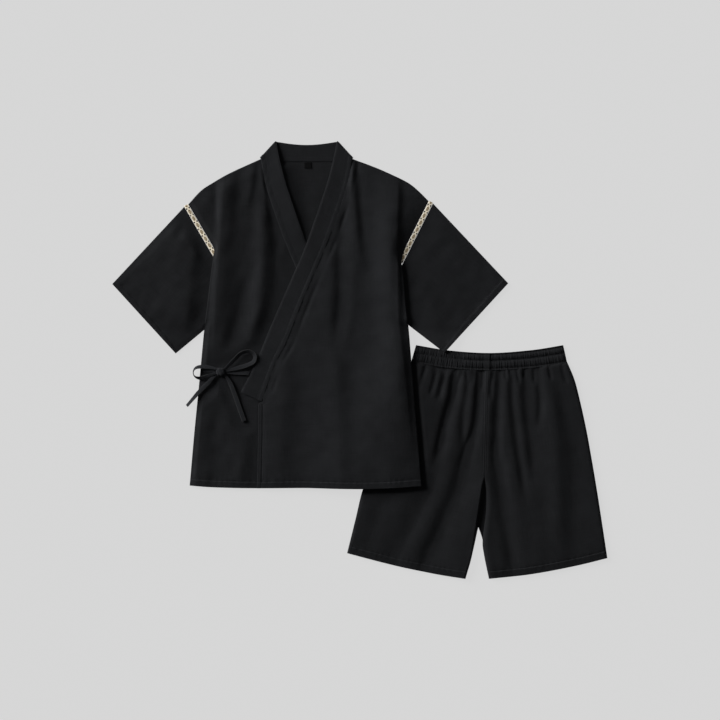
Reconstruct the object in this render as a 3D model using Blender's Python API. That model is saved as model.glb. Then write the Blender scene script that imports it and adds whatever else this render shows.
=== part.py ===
"""A men's jinbei set laid flat: a short-sleeved wrap jacket with its lower corner over a pair of shorts.

+X runs to the wearer's left, +Y towards the collar and +Z up from the surface at z = 0. Sizes are in
millimetres, and make_solid turns them into metres. Each piece is a closed wall of cloth. The pieces
lie in layers, and what lies on another piece is raised clear of it. Tables of points give x, y.
"""
import bmesh
import bpy
import numpy as np

# Cloth and clearances.
CLOTH = 1.2
DOUBLED_CLOTH = 2.0
SEAM_GAP = 0.3
LAYER = CLOTH + SEAM_GAP
EDGE_ROUND = 1.4

# The jacket. Its fronts mirror each other about the collar's centre line.
COLLAR_CENTRE_X = -118.0
BACK_NECK_Y = 440.7
OVER_SEAM = ((-16, 447), (-27, 388), (-52, 311), (-79, 240), (-122, 140), (-160, 43), (-187, -10), (-216, -93))
OVER_EDGE = ((-51, 485), (-60, 440), (-78, 375), (-122, 249), (-147, 191), (-197, 76), (-230, -4), (-264, -71))
FRONT_EDGE = ((-228, -285), (-226, -190), (-225, -98))
BAND_MIDDLE_TOP_Y = 478.0
COLLAR_TURN = 1.5
COLLAR_STEPS = np.linspace(0.0, 1.0, 15)
HEM = ((-378, -279), (-323, -283), (-228, -285), (-133, -284), (-33, -286), (45, -285.5), (137, -280))

# The wearer's left side seam, the fold of the front over the sleeve, and the shoulder from neck to tip.
LEFT_SIDE = ((137, -280), (130, -189), (121.5, -93), (114, 3), (108, 76))
LEFT_FOLD = ((103, 122), (97, 189), (93, 222))
LEFT_SHOULDER = ((-16, 447), (29, 430), (71, 412), (107, 394), (130, 376), (152, 353.5))
LEFT_ARMHOLE = ((158, 350.4), (131, 296.8), (104.1, 243.1), (84, 203), (77, 178), (79, 145), (89, 107),
                (107, 77))
LEFT_CUFF = ((330, 170.5), (188, 16))

# The same for the wearer's right.
RIGHT_SIDE = ((-378, -279), (-368, -165), (-361, -94), (-355, -32), (-346, 64))
RIGHT_FOLD = ((-340, 111), (-332, 178), (-326, 228))
RIGHT_SHOULDER = ((-220, 444), (-257, 430), (-295, 412), (-326, 394), (-353, 376), (-380, 347.5))
RIGHT_ARMHOLE = ((-385.5, 343.2), (-355.4, 291.5), (-325.2, 239.6), (-311, 215), (-307, 190), (-311, 150),
                 (-323, 107), (-345, 66))
RIGHT_CUFF = ((-550, 169), (-409, 14.5))

TAPE_WIDTH = 9.6
TAPED_LENGTH = 150.0
UNTAPED_GAP = 1.2
ARMHOLE_STEPS = np.concatenate(((0.0,), np.linspace(0.02, 0.98, 13), (1.0,)))
LABEL_CENTRE = (-115.5, 433.2)
LABEL_SIZE = (16.0, 13.6)

# Soft folds of the jacket: where each starts and ends, its half width and its height.
LEFT_FRONT_FOLDS = (
    (89, 405, 94, 235, 11, 7.0), (94, 235, 109, 52, 11, 7.0), (-19, 430, -25, 346, 9, 3.0),
    (44, 350, 48, 133, 20, 4.5), (-33, 250, -33, 130, 9, 2.5), (-95, 20, -90, -285, 24, 3.0),
    (10, 60, 20, -285, 20, 3.5), (90, 20, 102, -285, 16, 2.0))
RIGHT_FRONT_FOLDS = (
    (-317, 384, -325, 240, 9, 5.5), (-325, 240, -346, 40, 9, 5.5), (-308, 228, -326, 80, 16, 4.0),
    (-228, 385, -241, 95, 13, 4.5),
    (-345, -70, -362, -279, 13, 2.0), (-288, -75, -292, -283, 20, 2.5))
LEFT_SLEEVE_FOLDS = (
    (150, 300, 215, 120, 20, 3.5), (215, 260, 285, 165, 18, 2.5), (140, 190, 175, 60, 12, 2.0))
RIGHT_SLEEVE_FOLDS = (
    (-375, 290, -435, 120, 20, 3.5), (-440, 250, -505, 165, 18, 2.5), (-365, 190, -395, 60, 12, 2.0))

# The shorts.
WAIST_TOP = ((125, 33), (200, 21), (290, 15.5), (382, 22), (452, 33))
WAIST_SEAM = ((114, -4.5), (197, -17.5), (284, -22.5), (380, -17.5), (461, -6.5))
BAND_CLOTH = 2.2
BAND_RIPPLE = 1.1
WAIST_CENTRE = 0.486
CROTCH_FRONT = (277, -257)
CROTCH_BACK = (263.5, -371)
LEG_STEPS = np.array((0.0, 0.35, 0.7, 1.0))
SEAT_STEPS = np.array((0.0, 0.2, 0.4, 0.58, 0.74, 0.87, 0.95, 1.0))
RIGHT_LEG_SIDE = ((114, -5), (101, -30), (79, -77), (54, -148), (31, -219), (6, -290), (-9, -352), (-28, -429))
LEFT_LEG_SIDE = ((461, -7), (476, -41), (486, -77), (502, -148), (515, -219), (527, -290), (538, -361),
                 (550, -440))
RIGHT_LEG_INSIDE = ((268, -317), (261, -363), (250, -432), (235, -486))
LEFT_LEG_INSIDE = ((281, -300), (280, -340), (273, -400), (276, -432), (287, -486))
RIGHT_LEG_HEM = ((-28, -429), (17, -441), (84, -458), (171, -476), (235, -486))
LEFT_LEG_HEM = ((550, -440), (476, -458), (379, -476), (287, -486))

# The troughs between the gathers: place along the waist, from the wearer's right, height of the gather
# after it, and how far down it runs.
GATHERS = (
    (0.038, 3.0, 60), (0.068, 2.6, 70), (0.104, 3.2, 60), (0.140, 3.6, 90), (0.176, 3.0, 70),
    (0.212, 3.8, 110), (0.248, 4.2, 150), (0.280, 3.2, 90), (0.319, 3.6, 80), (0.367, 4.0, 140),
    (0.415, 4.2, 110), (0.451, 3.0, 70), (0.517, 3.4, 80), (0.559, 4.2, 150), (0.613, 4.0, 120),
    (0.660, 3.4, 90), (0.708, 4.2, 130), (0.756, 3.4, 80), (0.804, 3.6, 90), (0.852, 3.2, 70),
    (0.888, 4.2, 140), (0.930, 3.2, 80), (0.966, 2.6, 60))

# Long soft folds of the legs, in the columns of the jacket's.
RIGHT_LEG_FOLDS = (
    (186, -90, 128, -260, 15, 4.0), (228, -110, 170, -300, 16, 4.5), (160, -300, 120, -440, 20, 3.0),
    (255, -190, 225, -440, 14, 3.0))
LEFT_LEG_FOLDS = (
    (318, -110, 300, -290, 14, 3.5), (370, -80, 372, -300, 16, 4.0), (430, -90, 440, -430, 20, 3.5),
    (330, -300, 330, -460, 16, 2.5))

# Where the jacket lies on the shorts it climbs by LIFT. A row is a line's two points, and the lift
# grows over LIFT_RAMP up to the line, on its right-hand side.
LIFT = 6.2
LIFT_RAMP = 45.0
LAYER_AIR = 1.6
LIFT_LINES = (((-3, -290), (106, -4)), ((122, 35), (200, 22)))
JACKET_EDGES = (((108, 76), (137, -280)), ((137, -280), (-33, -286)))
PRESS_RAMP = 14.0

# The ties: the bow's knot, and the middle lines of what leaves it: x, y, z.
KNOT_CENTRE = (-308.7, -26.2, 9.0)
KNOT_SIZE = (19.0, 18.0, 7.6)
TIE_THICKNESS = 1.6
TIE_FRONT = ((-244.2, -30.8, 5.0), (-251, -27.6, 5.4), (-264, -27, 6.4), (-281, -27.5, 7.6), (-298.4, -27.5, 7.8))
TIE_SIDE = ((-353, -22, 3.9), (-343, -23.5, 4.5), (-330, -25.2, 6.6), (-319.0, -26, 7.8))
LOOP_LEFT = ((-298.4, -20.3, 11.2), (-278, -5, 11.6), (-258, 16, 10.4), (-244, 20, 8.8), (-238, 10, 8.2),
             (-246, -3, 8.6), (-270, -13, 10.4), (-298.4, -23.5, 8.0))
LOOP_RIGHT = ((-319.0, -20.5, 10.8), (-337, -15, 10.6), (-358, -14, 9.6), (-373, -20, 8.0), (-377, -30, 7.2),
              (-371, -39, 7.6), (-354, -43, 8.6), (-336, -36, 9.6), (-319.0, -30.5, 10.6))
TAIL_LEFT = ((-298.4, -32.5, 7.6), (-288, -50, 7.4), (-272, -92, 6.6), (-256, -137, 5.8))
TAIL_RIGHT = ((-319.0, -32.5, 7.4), (-336, -50, 7.6), (-356, -70, 6.8), (-384, -102, 3.6))


def smooth(value):
    """0 to 1 with a soft start and end, for a value that runs from 0 to 1."""
    t = np.clip(value, 0.0, 1.0)
    return t * t * (3.0 - 2.0 * t)


def curve(points, fractions):
    """Points on a smooth curve (Catmull-Rom) through a table of points, at fractions of its length."""
    table = np.asarray(points, float)
    padded = np.vstack((2 * table[0] - table[1], table, 2 * table[-1] - table[-2]))
    steps = np.linspace(0.0, 1.0, 12, endpoint=False)[:, None]
    spans = []
    for before, start, end, after in zip(padded, padded[1:], padded[2:], padded[3:]):
        spans.append(0.5 * (2 * start + (end - before) * steps
                            + (2 * before - 5 * start + 4 * end - after) * steps ** 2
                            + (3 * start - before - 3 * end + after) * steps ** 3))
    fine = np.vstack(spans + [table[-1:]])
    length = np.append(0.0, np.cumsum(np.linalg.norm(np.diff(fine, axis=0), axis=1)))
    return np.stack([np.interp(np.asarray(fractions) * length[-1], length, axis) for axis in fine.T], axis=-1)


def shifted(points, distance):
    """A line's points moved sideways, to its left, by a distance in its plane."""
    along = np.gradient(points, axis=0)
    along /= np.linalg.norm(along, axis=1, keepdims=True)
    return points + np.stack((-along[:, 1], along[:, 0]), axis=1) * np.reshape(distance, (-1, 1))


def mirrored(points):
    """The points of one front's edge, mirrored to the other front."""
    return tuple((2 * COLLAR_CENTRE_X - x, y) for x, y in points)


def chained(*runs):
    """Points along several curves end to end; each run is a table and its fractions, and they share ends."""
    parts = [curve(table, fractions) for table, fractions in runs]
    return np.vstack([part[:-1] for part in parts[:-1]] + [parts[-1]])


def length_fractions(points):
    """Each point's fraction of the line's length."""
    length = np.append(0.0, np.cumsum(np.linalg.norm(np.diff(points, axis=0), axis=1)))
    return length / length[-1]


def panel(bottom, top, near, far, across, up):
    """A Coons patch: the plan of a panel between four edges, rows by columns of x, y.

    bottom and top are tables, sampled at the fractions across; near and far hold a point for each row.
    """
    s = np.asarray(across)[None, :, None]
    t = np.asarray(up)[:, None, None]
    low, high = curve(bottom, across)[None], curve(top, across)[None]
    corners = (1 - s) * (1 - t) * near[0] + s * (1 - t) * far[0] + (1 - s) * t * near[-1] + s * t * far[-1]
    return (1 - t) * low + t * high + (1 - s) * near[:, None] + s * far[:, None] - corners


def folds(plan, table):
    """Height of soft ridges over a plan: each is a bell across its line, fading at its two ends."""
    height = np.zeros(plan.shape[:-1])
    for x0, y0, x1, y1, half_width, rise in table:
        start, run = np.array((x0, y0)), np.array((x1 - x0, y1 - y0))
        length = np.linalg.norm(run)
        along = (plan - start) @ run / length
        aside = (plan - start) @ np.array((-run[1], run[0])) / length
        fade = smooth(along / (3 * half_width) + 0.7) * smooth((length - along) / (3 * half_width) + 0.7)
        height = np.maximum(height, rise * fade * np.exp(-(aside / half_width) ** 2))
    return height


def right_of(plan, line, ramp):
    """1 to the right of a line from its first point to its second, falling to 0 over a ramp."""
    start, end = np.asarray(line, float)
    run = (end - start) / np.linalg.norm(end - start)
    return smooth(1.0 + (plan - start) @ np.array((run[1], -run[0])) / ramp)


def lifted(plan, ramp=LIFT_RAMP):
    """How far the jacket climbs where it lies on the shorts, from 0 to 1."""
    return right_of(plan, LIFT_LINES[0], ramp) * right_of(plan, LIFT_LINES[1], ramp)


def layer_climb(plan, layers):
    """The climb of a front: the back's own, and a little air for each layer, which opens sooner."""
    return LIFT * lifted(plan) + LAYER_AIR * layers * lifted(plan, 2 * LIFT_RAMP)


def pressed(plan):
    """1 where the jacket lies on the shorts and presses their gathers flat, from its own edges inward."""
    body = right_of(plan, JACKET_EDGES[0], PRESS_RAMP) * right_of(plan, JACKET_EDGES[1], PRESS_RAMP)
    tip = np.linalg.norm(plan - np.array(LEFT_CUFF[1]), axis=-1)
    return np.maximum(body, 1 - smooth((tip - 30) / 25))


def make_solid(name, points, faces, material):
    """One closed mesh, from points in millimetres, with its faces turned outward."""
    mesh = bpy.data.meshes.new(name)
    mesh.from_pydata((points * 0.001).tolist(), [], [list(map(int, face)) for face in faces])
    shape = bmesh.new()
    shape.from_mesh(mesh)
    bmesh.ops.recalc_face_normals(shape, faces=shape.faces)
    shape.to_mesh(mesh)
    shape.free()
    mesh.shade_smooth()
    mesh.set_sharp_from_angle(angle=np.radians(50))
    mesh.materials.append(material)
    thing = bpy.data.objects.new(name, mesh)
    bpy.context.collection.objects.link(thing)
    return thing


def quads(rows, columns, first=0, wrap=False):
    """Four-sided faces between the points of a grid, closed round in columns when it wraps."""
    last = columns if wrap else columns - 1
    row, column = np.meshgrid(np.arange(rows - 1), np.arange(last), indexing="ij")
    here = row * columns + column
    beside = row * columns + (column + 1) % columns
    return np.stack((here, beside, beside + columns, here + columns), axis=-1).reshape(-1, 4) + first


def make_sheet(name, plan, underside, material, thickness=CLOTH):
    """A panel's wall: its underside, its top a thickness above, and a rim round the two."""
    rows, columns = underside.shape
    low = np.dstack((plan, underside)).reshape(-1, 3)
    high = np.dstack((plan, underside + thickness)).reshape(-1, 3)
    index = np.arange(rows * columns).reshape(rows, columns)
    rim = np.concatenate((index[0], index[1:, -1], index[-1, -2::-1], index[-2:0:-1, 0]))
    rim_next = np.roll(rim, -1)
    count = rows * columns
    walls = np.stack((rim, rim_next, rim_next + count, rim + count), axis=-1)
    faces = np.vstack((quads(rows, columns), quads(rows, columns, count), walls))
    return make_solid(name, np.vstack((low, high)), faces, material)


def make_flat_tube(name, edges, low_across, high_across, up, underside, rise, material, thickness=CLOTH):
    """A tube of cloth pressed flat and open at both ends.

    edges are its four plan curves. The ring of each section runs across its low wall and back across
    its high wall, rise above it, and turns round at both folds; the inner ring lies inside it.
    """
    rings = []
    for inset in (0.0, thickness):
        walls = []
        for across, is_high in ((low_across, False), (high_across[-2:0:-1], True)):
            width = np.linalg.norm(np.subtract(edges[0][-1], edges[0][0]))
            plan = panel(edges[0], edges[1], curve(edges[2], up), curve(edges[3], up),
                         inset / width + across * (1 - 2 * inset / width), up)
            to_fold = np.minimum(across, 1 - across) * width / EDGE_ROUND
            full = np.sqrt(1 - (1 - np.clip(to_fold, 0, 1)) ** 2)
            middle = thickness + 0.5 * SEAM_GAP
            floor = underside(plan)
            if is_high:
                height = floor + middle + full * (rise(plan, across, up) + middle - inset)
            else:
                height = floor + middle - full * (middle - inset)
            walls.append(np.dstack((plan, height)))
        rings.append(np.concatenate(walls, axis=1))
    rows, columns = rings[0].shape[:2]
    count = rows * columns
    index = np.arange(columns)
    beside = np.roll(index, -1)
    ends = [np.stack((index, beside, beside + count, index + count), axis=-1) + row * columns
            for row in (0, rows - 1)]
    faces = np.vstack([quads(rows, columns, 0, True), quads(rows, columns, count, True)] + ends)
    return make_solid(name, np.vstack([ring.reshape(-1, 3) for ring in rings]), faces, material)


def make_ribbon(name, middle, half_across, thickness, material):
    """A flat band along a line, with a box section: half its width to each side, and its thickness."""
    along = np.gradient(middle, axis=0)
    out = np.cross(along, half_across)
    out *= 0.5 * thickness / np.linalg.norm(out, axis=1, keepdims=True)
    corners = np.stack((middle - half_across - out, middle + half_across - out,
                        middle + half_across + out, middle - half_across + out), axis=1)
    rows = len(middle)
    last = 4 * (rows - 1)
    faces = quads(rows, 4, 0, True).tolist() + [[0, 1, 2, 3], [last, last + 1, last + 2, last + 3]]
    return make_solid(name, corners.reshape(-1, 3), faces, material)


def make_material(name, colour, roughness):
    """A plain cloth finish."""
    material = bpy.data.materials.new(name)
    material.use_nodes = True
    finish = material.node_tree.nodes["Principled BSDF"]
    finish.inputs["Base Color"].default_value = (*colour, 1.0)
    finish.inputs["Roughness"].default_value = roughness
    finish.inputs["Metallic"].default_value = 0.0
    return material


def armhole_gap(length):
    """Half the gap in the armhole seam: the tape's half width where it runs, and narrow below it."""
    taped = 1 - smooth((length - TAPED_LENGTH - 6) / 40)
    return UNTAPED_GAP + taped * (0.5 * TAPE_WIDTH + 2 * SEAM_GAP - UNTAPED_GAP)


def armhole_length(armhole):
    """How long the armhole seam is, from the shoulder's tip to the underarm."""
    fine = curve(armhole, np.linspace(0.0, 1.0, 60))
    return np.linalg.norm(np.diff(fine, axis=0), axis=1).sum()


def body_side(side, fold, armhole, turn):
    """A front's outer edge, from the hem: side seam, fold over the sleeve, then along the tape to the tip."""
    fractions = np.array((0.0, 0.13, 0.26, 0.36))
    taped = shifted(curve(armhole, fractions), turn * armhole_gap(0.0))
    return (*side, *fold, *taped[::-1])


def armhole_edge(armhole, turn):
    """One edge of the armhole seam, from the shoulder's tip to the underarm: the body's or the sleeve's."""
    fractions = np.linspace(0.0, 1.0, 40)
    return shifted(curve(armhole, fractions), turn * armhole_gap(fractions * armhole_length(armhole)))


def make_back(cloth):
    """The back panel: flat on the surface, climbing over the shorts at the wearer's left hip."""
    sides = [chained((side, np.linspace(0, 1, 9)), (armhole_edge(armhole, turn)[::-1], ARMHOLE_STEPS))
             for side, armhole, turn in ((RIGHT_SIDE, RIGHT_ARMHOLE, 1), (LEFT_SIDE, LEFT_ARMHOLE, -1))]
    low_neck = BACK_NECK_Y - SEAM_GAP
    neck = ((-222, low_neck - 1.5), (-206, low_neck), (COLLAR_CENTRE_X, low_neck), (-30, low_neck), (-14, low_neck - 1.5))
    top = (sides[0][-1], *RIGHT_SHOULDER[-2:0:-1], *neck, *LEFT_SHOULDER[1:-1], sides[1][-1])
    plan = panel(HEM, top, *sides, np.linspace(0, 1, 15), length_fractions(sides[0]))
    make_sheet("jacket_back", plan, LIFT * lifted(plan), cloth)


def make_fronts(cloth):
    """The two fronts: the wearer's right lies on the back, and the left lies over it."""
    across = np.linspace(0.0, 1.0, 18)
    left = chained((FRONT_EDGE, np.linspace(0, 1, 6)), (((FRONT_EDGE[-1]), OVER_SEAM[-1]), (0.0, 1.0)),
                   (OVER_SEAM[::-1], COLLAR_STEPS))
    up = length_fractions(left)
    right = curve(body_side(LEFT_SIDE, LEFT_FOLD, LEFT_ARMHOLE, -1), up)
    plan = panel((FRONT_EDGE[0], *HEM[3:]), (*LEFT_SHOULDER[:-1], right[-1]), left, right, across, up)
    over_right_front = smooth((1 - across)[None, :] / 0.2) * smooth((1 - up)[:, None] / 0.12)
    underside = LAYER + 2.5 * over_right_front + layer_climb(plan, 2) + folds(plan, LEFT_FRONT_FOLDS)
    make_sheet("jacket_front_left", plan, underside, cloth)

    hidden_edge = left * (-1, 1) + (2 * COLLAR_CENTRE_X, 0)
    side = curve(body_side(RIGHT_SIDE, RIGHT_FOLD, RIGHT_ARMHOLE, 1), up)
    bottom = (*HEM[:2], (-228, -285), (COLLAR_CENTRE_X, -284.5), hidden_edge[0])
    plan = panel(bottom, (side[-1], *RIGHT_SHOULDER[-2:0:-1], hidden_edge[-1]), side, hidden_edge, across, up)
    band_run = np.subtract(OVER_EDGE[-1], OVER_EDGE[2])
    to_band = (plan - OVER_EDGE[3]) @ np.array((band_run[1], -band_run[0])) / np.linalg.norm(band_run)
    shows = smooth((to_band - 8) / 22) * smooth((FRONT_EDGE[0][0] - 4 - plan[..., 0]) / 18 + 2 * (plan[..., 1] > -90))
    underside = LAYER + layer_climb(plan, 1) + shows * folds(plan, RIGHT_FRONT_FOLDS)
    make_sheet("jacket_front_right", plan, underside, cloth)


def collar_rulings(seam, edge, middle_z, fractions):
    """Straight lines across the collar, from its seam to its free edge, at a height."""
    height = np.interp(fractions, *np.transpose(middle_z))
    lines = [np.column_stack((curve(points, fractions), height)) for points in (seam, edge)]
    return np.stack(lines, axis=1)


def collar_turn(seam_end, edge_end, outward):
    """The collar turning under at the shoulder: the same line carried round a half circle."""
    line = np.array((seam_end, edge_end), float)
    run = (line[1] - line[0]) / np.linalg.norm(line[1] - line[0])
    push = outward * np.array((-run[1], run[0]))
    lines = []
    for angle in np.linspace(0, np.pi, 6):
        flat = line + COLLAR_TURN * np.sin(angle) * push
        height = 0.5 * DOUBLED_CLOTH + COLLAR_TURN * (1 + np.cos(angle))
        lines.append(np.column_stack((flat, (height, height))))
    return np.array(lines)


def make_collar(cloth):
    """The collar: one doubled band, up the left front's edge, round the back of the neck and down."""
    over_seam = [tuple(point) for point in shifted(np.asarray(OVER_SEAM, float), -SEAM_GAP)]
    top_z = 0.5 * DOUBLED_CLOTH + 2 * COLLAR_TURN
    over = collar_rulings(over_seam, OVER_EDGE, ((0, top_z), (0.12, top_z), (0.4, 5.0), (1, 5.0)), 1 - COLLAR_STEPS)
    under = collar_rulings(mirrored(over_seam), mirrored(OVER_EDGE),
                           ((0, top_z), (0.12, top_z), (0.34, 2.6), (1, 2.6)), COLLAR_STEPS)
    left_turn = collar_turn(over_seam[0], OVER_EDGE[0], -1)
    right_turn = collar_turn(mirrored(over_seam[:1])[0], mirrored(OVER_EDGE[:1])[0], 1)
    neck_x = np.linspace(0.0, 1.0, 9)[1:-1, None]
    seam_line = over_seam[0] + neck_x * np.subtract(mirrored(over_seam[:1])[0], over_seam[0])
    edge_line = OVER_EDGE[0] + neck_x * np.subtract(mirrored(OVER_EDGE[:1])[0], OVER_EDGE[0])
    dip = np.sin(np.pi * neck_x[:, 0])
    seam_line[:, 1] -= (over_seam[0][1] - BACK_NECK_Y) * np.minimum(1, 2.2 * dip)
    edge_line[:, 1] -= (OVER_EDGE[0][1] - BAND_MIDDLE_TOP_Y) * dip
    low = np.full(len(neck_x), 0.5 * DOUBLED_CLOTH)
    neck = np.stack((np.column_stack((seam_line, low)), np.column_stack((edge_line, low))), axis=1)
    lines = np.concatenate((over[:-1], left_turn, neck, right_turn[::-1], under[1:]))
    make_ribbon("collar", lines.mean(axis=1), 0.5 * (lines[:, 1] - lines[:, 0]), DOUBLED_CLOTH, cloth)


def make_sleeves(cloth):
    """The sleeves: each a flat tube from the armhole seam to the cuff, folded along its top."""
    across = np.concatenate((ARMHOLE_STEPS[:1], (0.003,), ARMHOLE_STEPS[1:-1], (0.997,), ARMHOLE_STEPS[-1:]))
    up = np.linspace(0.0, 1.0, 10)
    for name, cuff, armhole, turn, table in (
            ("sleeve_left", LEFT_CUFF, LEFT_ARMHOLE, 1, LEFT_SLEEVE_FOLDS),
            ("sleeve_right", RIGHT_CUFF, RIGHT_ARMHOLE, -1, RIGHT_SLEEVE_FOLDS)):
        seam = armhole_edge(armhole, turn)
        edges = (seam, cuff, (seam[0], cuff[0]), (seam[-1], cuff[1]))

        def rise(plan, across, along, table=table):
            edge_fade = smooth(np.minimum(across, 1 - across) / 0.12)[None, :]
            return folds(plan, table) * edge_fade * smooth((along - 0.12) / 0.2)[:, None]

        make_flat_tube(name, edges, across, across, up, lambda plan: LIFT * lifted(plan), rise, cloth)


def make_tapes(tape):
    """The woven tape let into each armhole: up the front, over the shoulder's fold and down the back."""
    for name, armhole in (("armhole_tape_left", LEFT_ARMHOLE), ("armhole_tape_right", RIGHT_ARMHOLE)):
        line = curve(armhole, np.linspace(0.0, TAPED_LENGTH / armhole_length(armhole), 9))
        side = np.column_stack((shifted(line, 0.5 * TAPE_WIDTH) - line, np.zeros(9)))
        beyond = line[0] - 0.8 * (line[1] - line[0]) / np.linalg.norm(line[1] - line[0])
        front = np.column_stack((line[::-1], np.full(9, LAYER + 0.5 * CLOTH)))
        back = np.column_stack((line, np.full(9, 0.5 * CLOTH)))
        turn = [(*beyond, LAYER + 0.35 * CLOTH), (*beyond, 0.65 * CLOTH)]
        middle = np.vstack((front, turn, back))
        make_ribbon(name, middle, np.vstack((side[::-1], side[:1], side[:1], side)), CLOTH, tape)


def make_label(label):
    """The size label, sewn under the collar seam on the inside of the back."""
    plan = np.stack(np.meshgrid(LABEL_CENTRE[0] + LABEL_SIZE[0] * np.array((-0.5, 0.5)),
                                LABEL_CENTRE[1] + LABEL_SIZE[1] * np.array((-0.5, 0.5))), axis=-1)
    make_sheet("neck_label", plan, np.full((2, 2), LAYER), label, thickness=1.0)


def gather_columns(start, end):
    """Columns along the waist from start to end: each trough and crest, and half way between.

    Returns their places, how much of a crest each is, and the crest's height and length there.
    """
    rows = [row for row in GATHERS if start < row[0] < end]
    troughs = [row[0] for row in rows]
    crests = [0.5 * (a + b) for a, b in zip([start] + troughs, troughs + [end])]
    marks = [(place, 0.0) for place in troughs] + [(place, 1.0) for place in crests[1:-1]]
    marks = sorted(marks + [(start, 0.5), (end, 0.5)])
    places = [mark[0] for mark in marks]
    halves = [0.5 * (a + b) for a, b in zip(places, places[1:])]
    columns = np.array(sorted(places + halves))
    crest = np.interp(columns, places, [mark[1] for mark in marks])
    height = np.interp(columns, troughs, [row[1] for row in rows])
    reach = np.interp(columns, troughs, [row[2] for row in rows])
    return columns, crest, height, reach


def make_legs(cloth):
    """The shorts' legs: two plain backs on the surface, and two fronts gathered under the waistband."""
    for name, sign, side, inside, hem, table, span in (
            ("right", -1, RIGHT_LEG_SIDE, RIGHT_LEG_INSIDE, RIGHT_LEG_HEM, RIGHT_LEG_FOLDS, (0.0, WAIST_CENTRE)),
            ("left", 1, LEFT_LEG_SIDE, LEFT_LEG_INSIDE, LEFT_LEG_HEM, LEFT_LEG_FOLDS, (WAIST_CENTRE, 1.0))):
        shift = np.array((0.5 * sign * SEAM_GAP, 0.0))
        waist = curve(WAIST_SEAM, np.linspace(*span, 9)) - (0, 2 * SEAM_GAP)
        centre = waist[-1 if sign < 0 else 0]
        columns, crest, height, reach = gather_columns(*span)
        across = (columns - span[0]) / (span[1] - span[0])

        front_seam = np.array((CROTCH_FRONT, centre)) + shift
        rows = ((inside[::-1] + (CROTCH_FRONT,), LEG_STEPS), (front_seam, SEAT_STEPS))
        plan = leg_panel(sign, side, rows, hem, waist, across)
        below = np.linalg.norm(plan - plan[-1:], axis=-1)
        gathers = crest * height * (1 - smooth(below / reach))
        long_folds = folds(plan, table) * smooth((below - 20) / 60)
        underside = LAYER + (gathers + long_folds) * (1 - pressed(plan))
        make_sheet(f"shorts_front_{name}", plan, underside, cloth)

        back_seam = np.array((CROTCH_BACK, (271, -250), centre)) + shift
        rows = ((inside[:1:-1] + (CROTCH_BACK,), LEG_STEPS), (back_seam, SEAT_STEPS))
        plan = leg_panel(sign, side, rows, hem, waist, np.linspace(0, 1, 9))
        make_sheet(f"shorts_back_{name}", plan, np.zeros(plan.shape[:2]), cloth)


def leg_panel(sign, side, rows, hem, waist, across):
    """The plan of one leg's front or back, from the hem up, with its seam edge sampled in rows."""
    seam = chained(*rows)
    up = length_fractions(seam)
    outer = curve((*side[:0:-1], waist[0 if sign < 0 else -1]), up)
    if sign < 0:
        return panel(hem, waist, outer, seam, across, up)
    return panel(hem[::-1], waist, seam, outer, across, up)


def make_waistband(cloth):
    """The waistband: a flat ring of cloth on its elastic, rippled on the front by the gathers."""
    columns, crest, _, _ = gather_columns(0.0, 1.0)
    high = np.concatenate(((0.0, 0.002), columns[1:-1], (0.998, 1.0)))
    ripple = np.concatenate(((0.0, 0.0), crest[1:-1], (0.0, 0.0)))
    low = np.concatenate(((0.0, 0.002), np.linspace(0.02, 0.98, 13), (0.998, 1.0)))
    up = np.array((0.0, 0.35, 0.7, 1.0))
    row_ripple = np.array((1.0, 0.5, 0.9, 0.5))
    edges = (WAIST_SEAM, WAIST_TOP, (WAIST_SEAM[0], WAIST_TOP[0]), (WAIST_SEAM[-1], WAIST_TOP[-1]))

    def rise(plan, across, along):
        waves = BAND_RIPPLE * np.interp(across, high, ripple)[None, :] * row_ripple[:, None]
        return waves * (1 - 0.6 * pressed(plan))

    make_flat_tube("waistband", edges, low, high, up, lambda plan: np.zeros(plan.shape[:2]), rise, cloth,
                   thickness=BAND_CLOTH)


def make_tie(name, points, width, narrow_ends, cloth):
    """A stretch of tie: a flat ribbon along its route, drawn in where it enters the knot."""
    fractions = np.linspace(0.0, 1.0, 4 * len(points))
    middle = curve(points, fractions)
    along = np.gradient(middle, axis=0)
    side = np.column_stack((-along[:, 1], along[:, 0], np.zeros(len(along))))
    side /= np.linalg.norm(side, axis=1, keepdims=True)
    knot = np.array(KNOT_CENTRE) - middle
    spread = smooth((np.linalg.norm(knot[:, :2], axis=1) - 10) / 18) if narrow_ends else np.ones(len(middle))
    half = 0.5 * (2.6 + (width - 2.6) * spread)
    make_ribbon(name, middle, side * half[:, None], TIE_THICKNESS, cloth)


def make_bow(cloth):
    """The tied bow: its knot, the two ties that enter it, two loops and two tails."""
    for name, points, width in (
            ("tie_front", TIE_FRONT, 9.0), ("tie_side", TIE_SIDE, 8.0), ("bow_loop_left", LOOP_LEFT, 6.5),
            ("bow_loop_right", LOOP_RIGHT, 4.5), ("bow_tail_left", TAIL_LEFT, 9.0), ("bow_tail_right", TAIL_RIGHT, 8.0)):
        make_tie(name, points, width, True, cloth)
    shape = bmesh.new()
    bmesh.ops.create_cube(shape, size=1.0)
    bmesh.ops.scale(shape, vec=np.array(KNOT_SIZE) * 0.001, verts=shape.verts)
    bmesh.ops.bevel(shape, geom=shape.edges, offset=0.0022, segments=2, affect="EDGES")
    bmesh.ops.translate(shape, vec=np.array(KNOT_CENTRE) * 0.001, verts=shape.verts)
    mesh = bpy.data.meshes.new("bow_knot")
    shape.to_mesh(mesh)
    shape.free()
    mesh.shade_smooth()
    mesh.materials.append(cloth)
    knot = bpy.data.objects.new("bow_knot", mesh)
    bpy.context.collection.objects.link(knot)


for thing in list(bpy.data.objects):
    bpy.data.objects.remove(thing)

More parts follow.
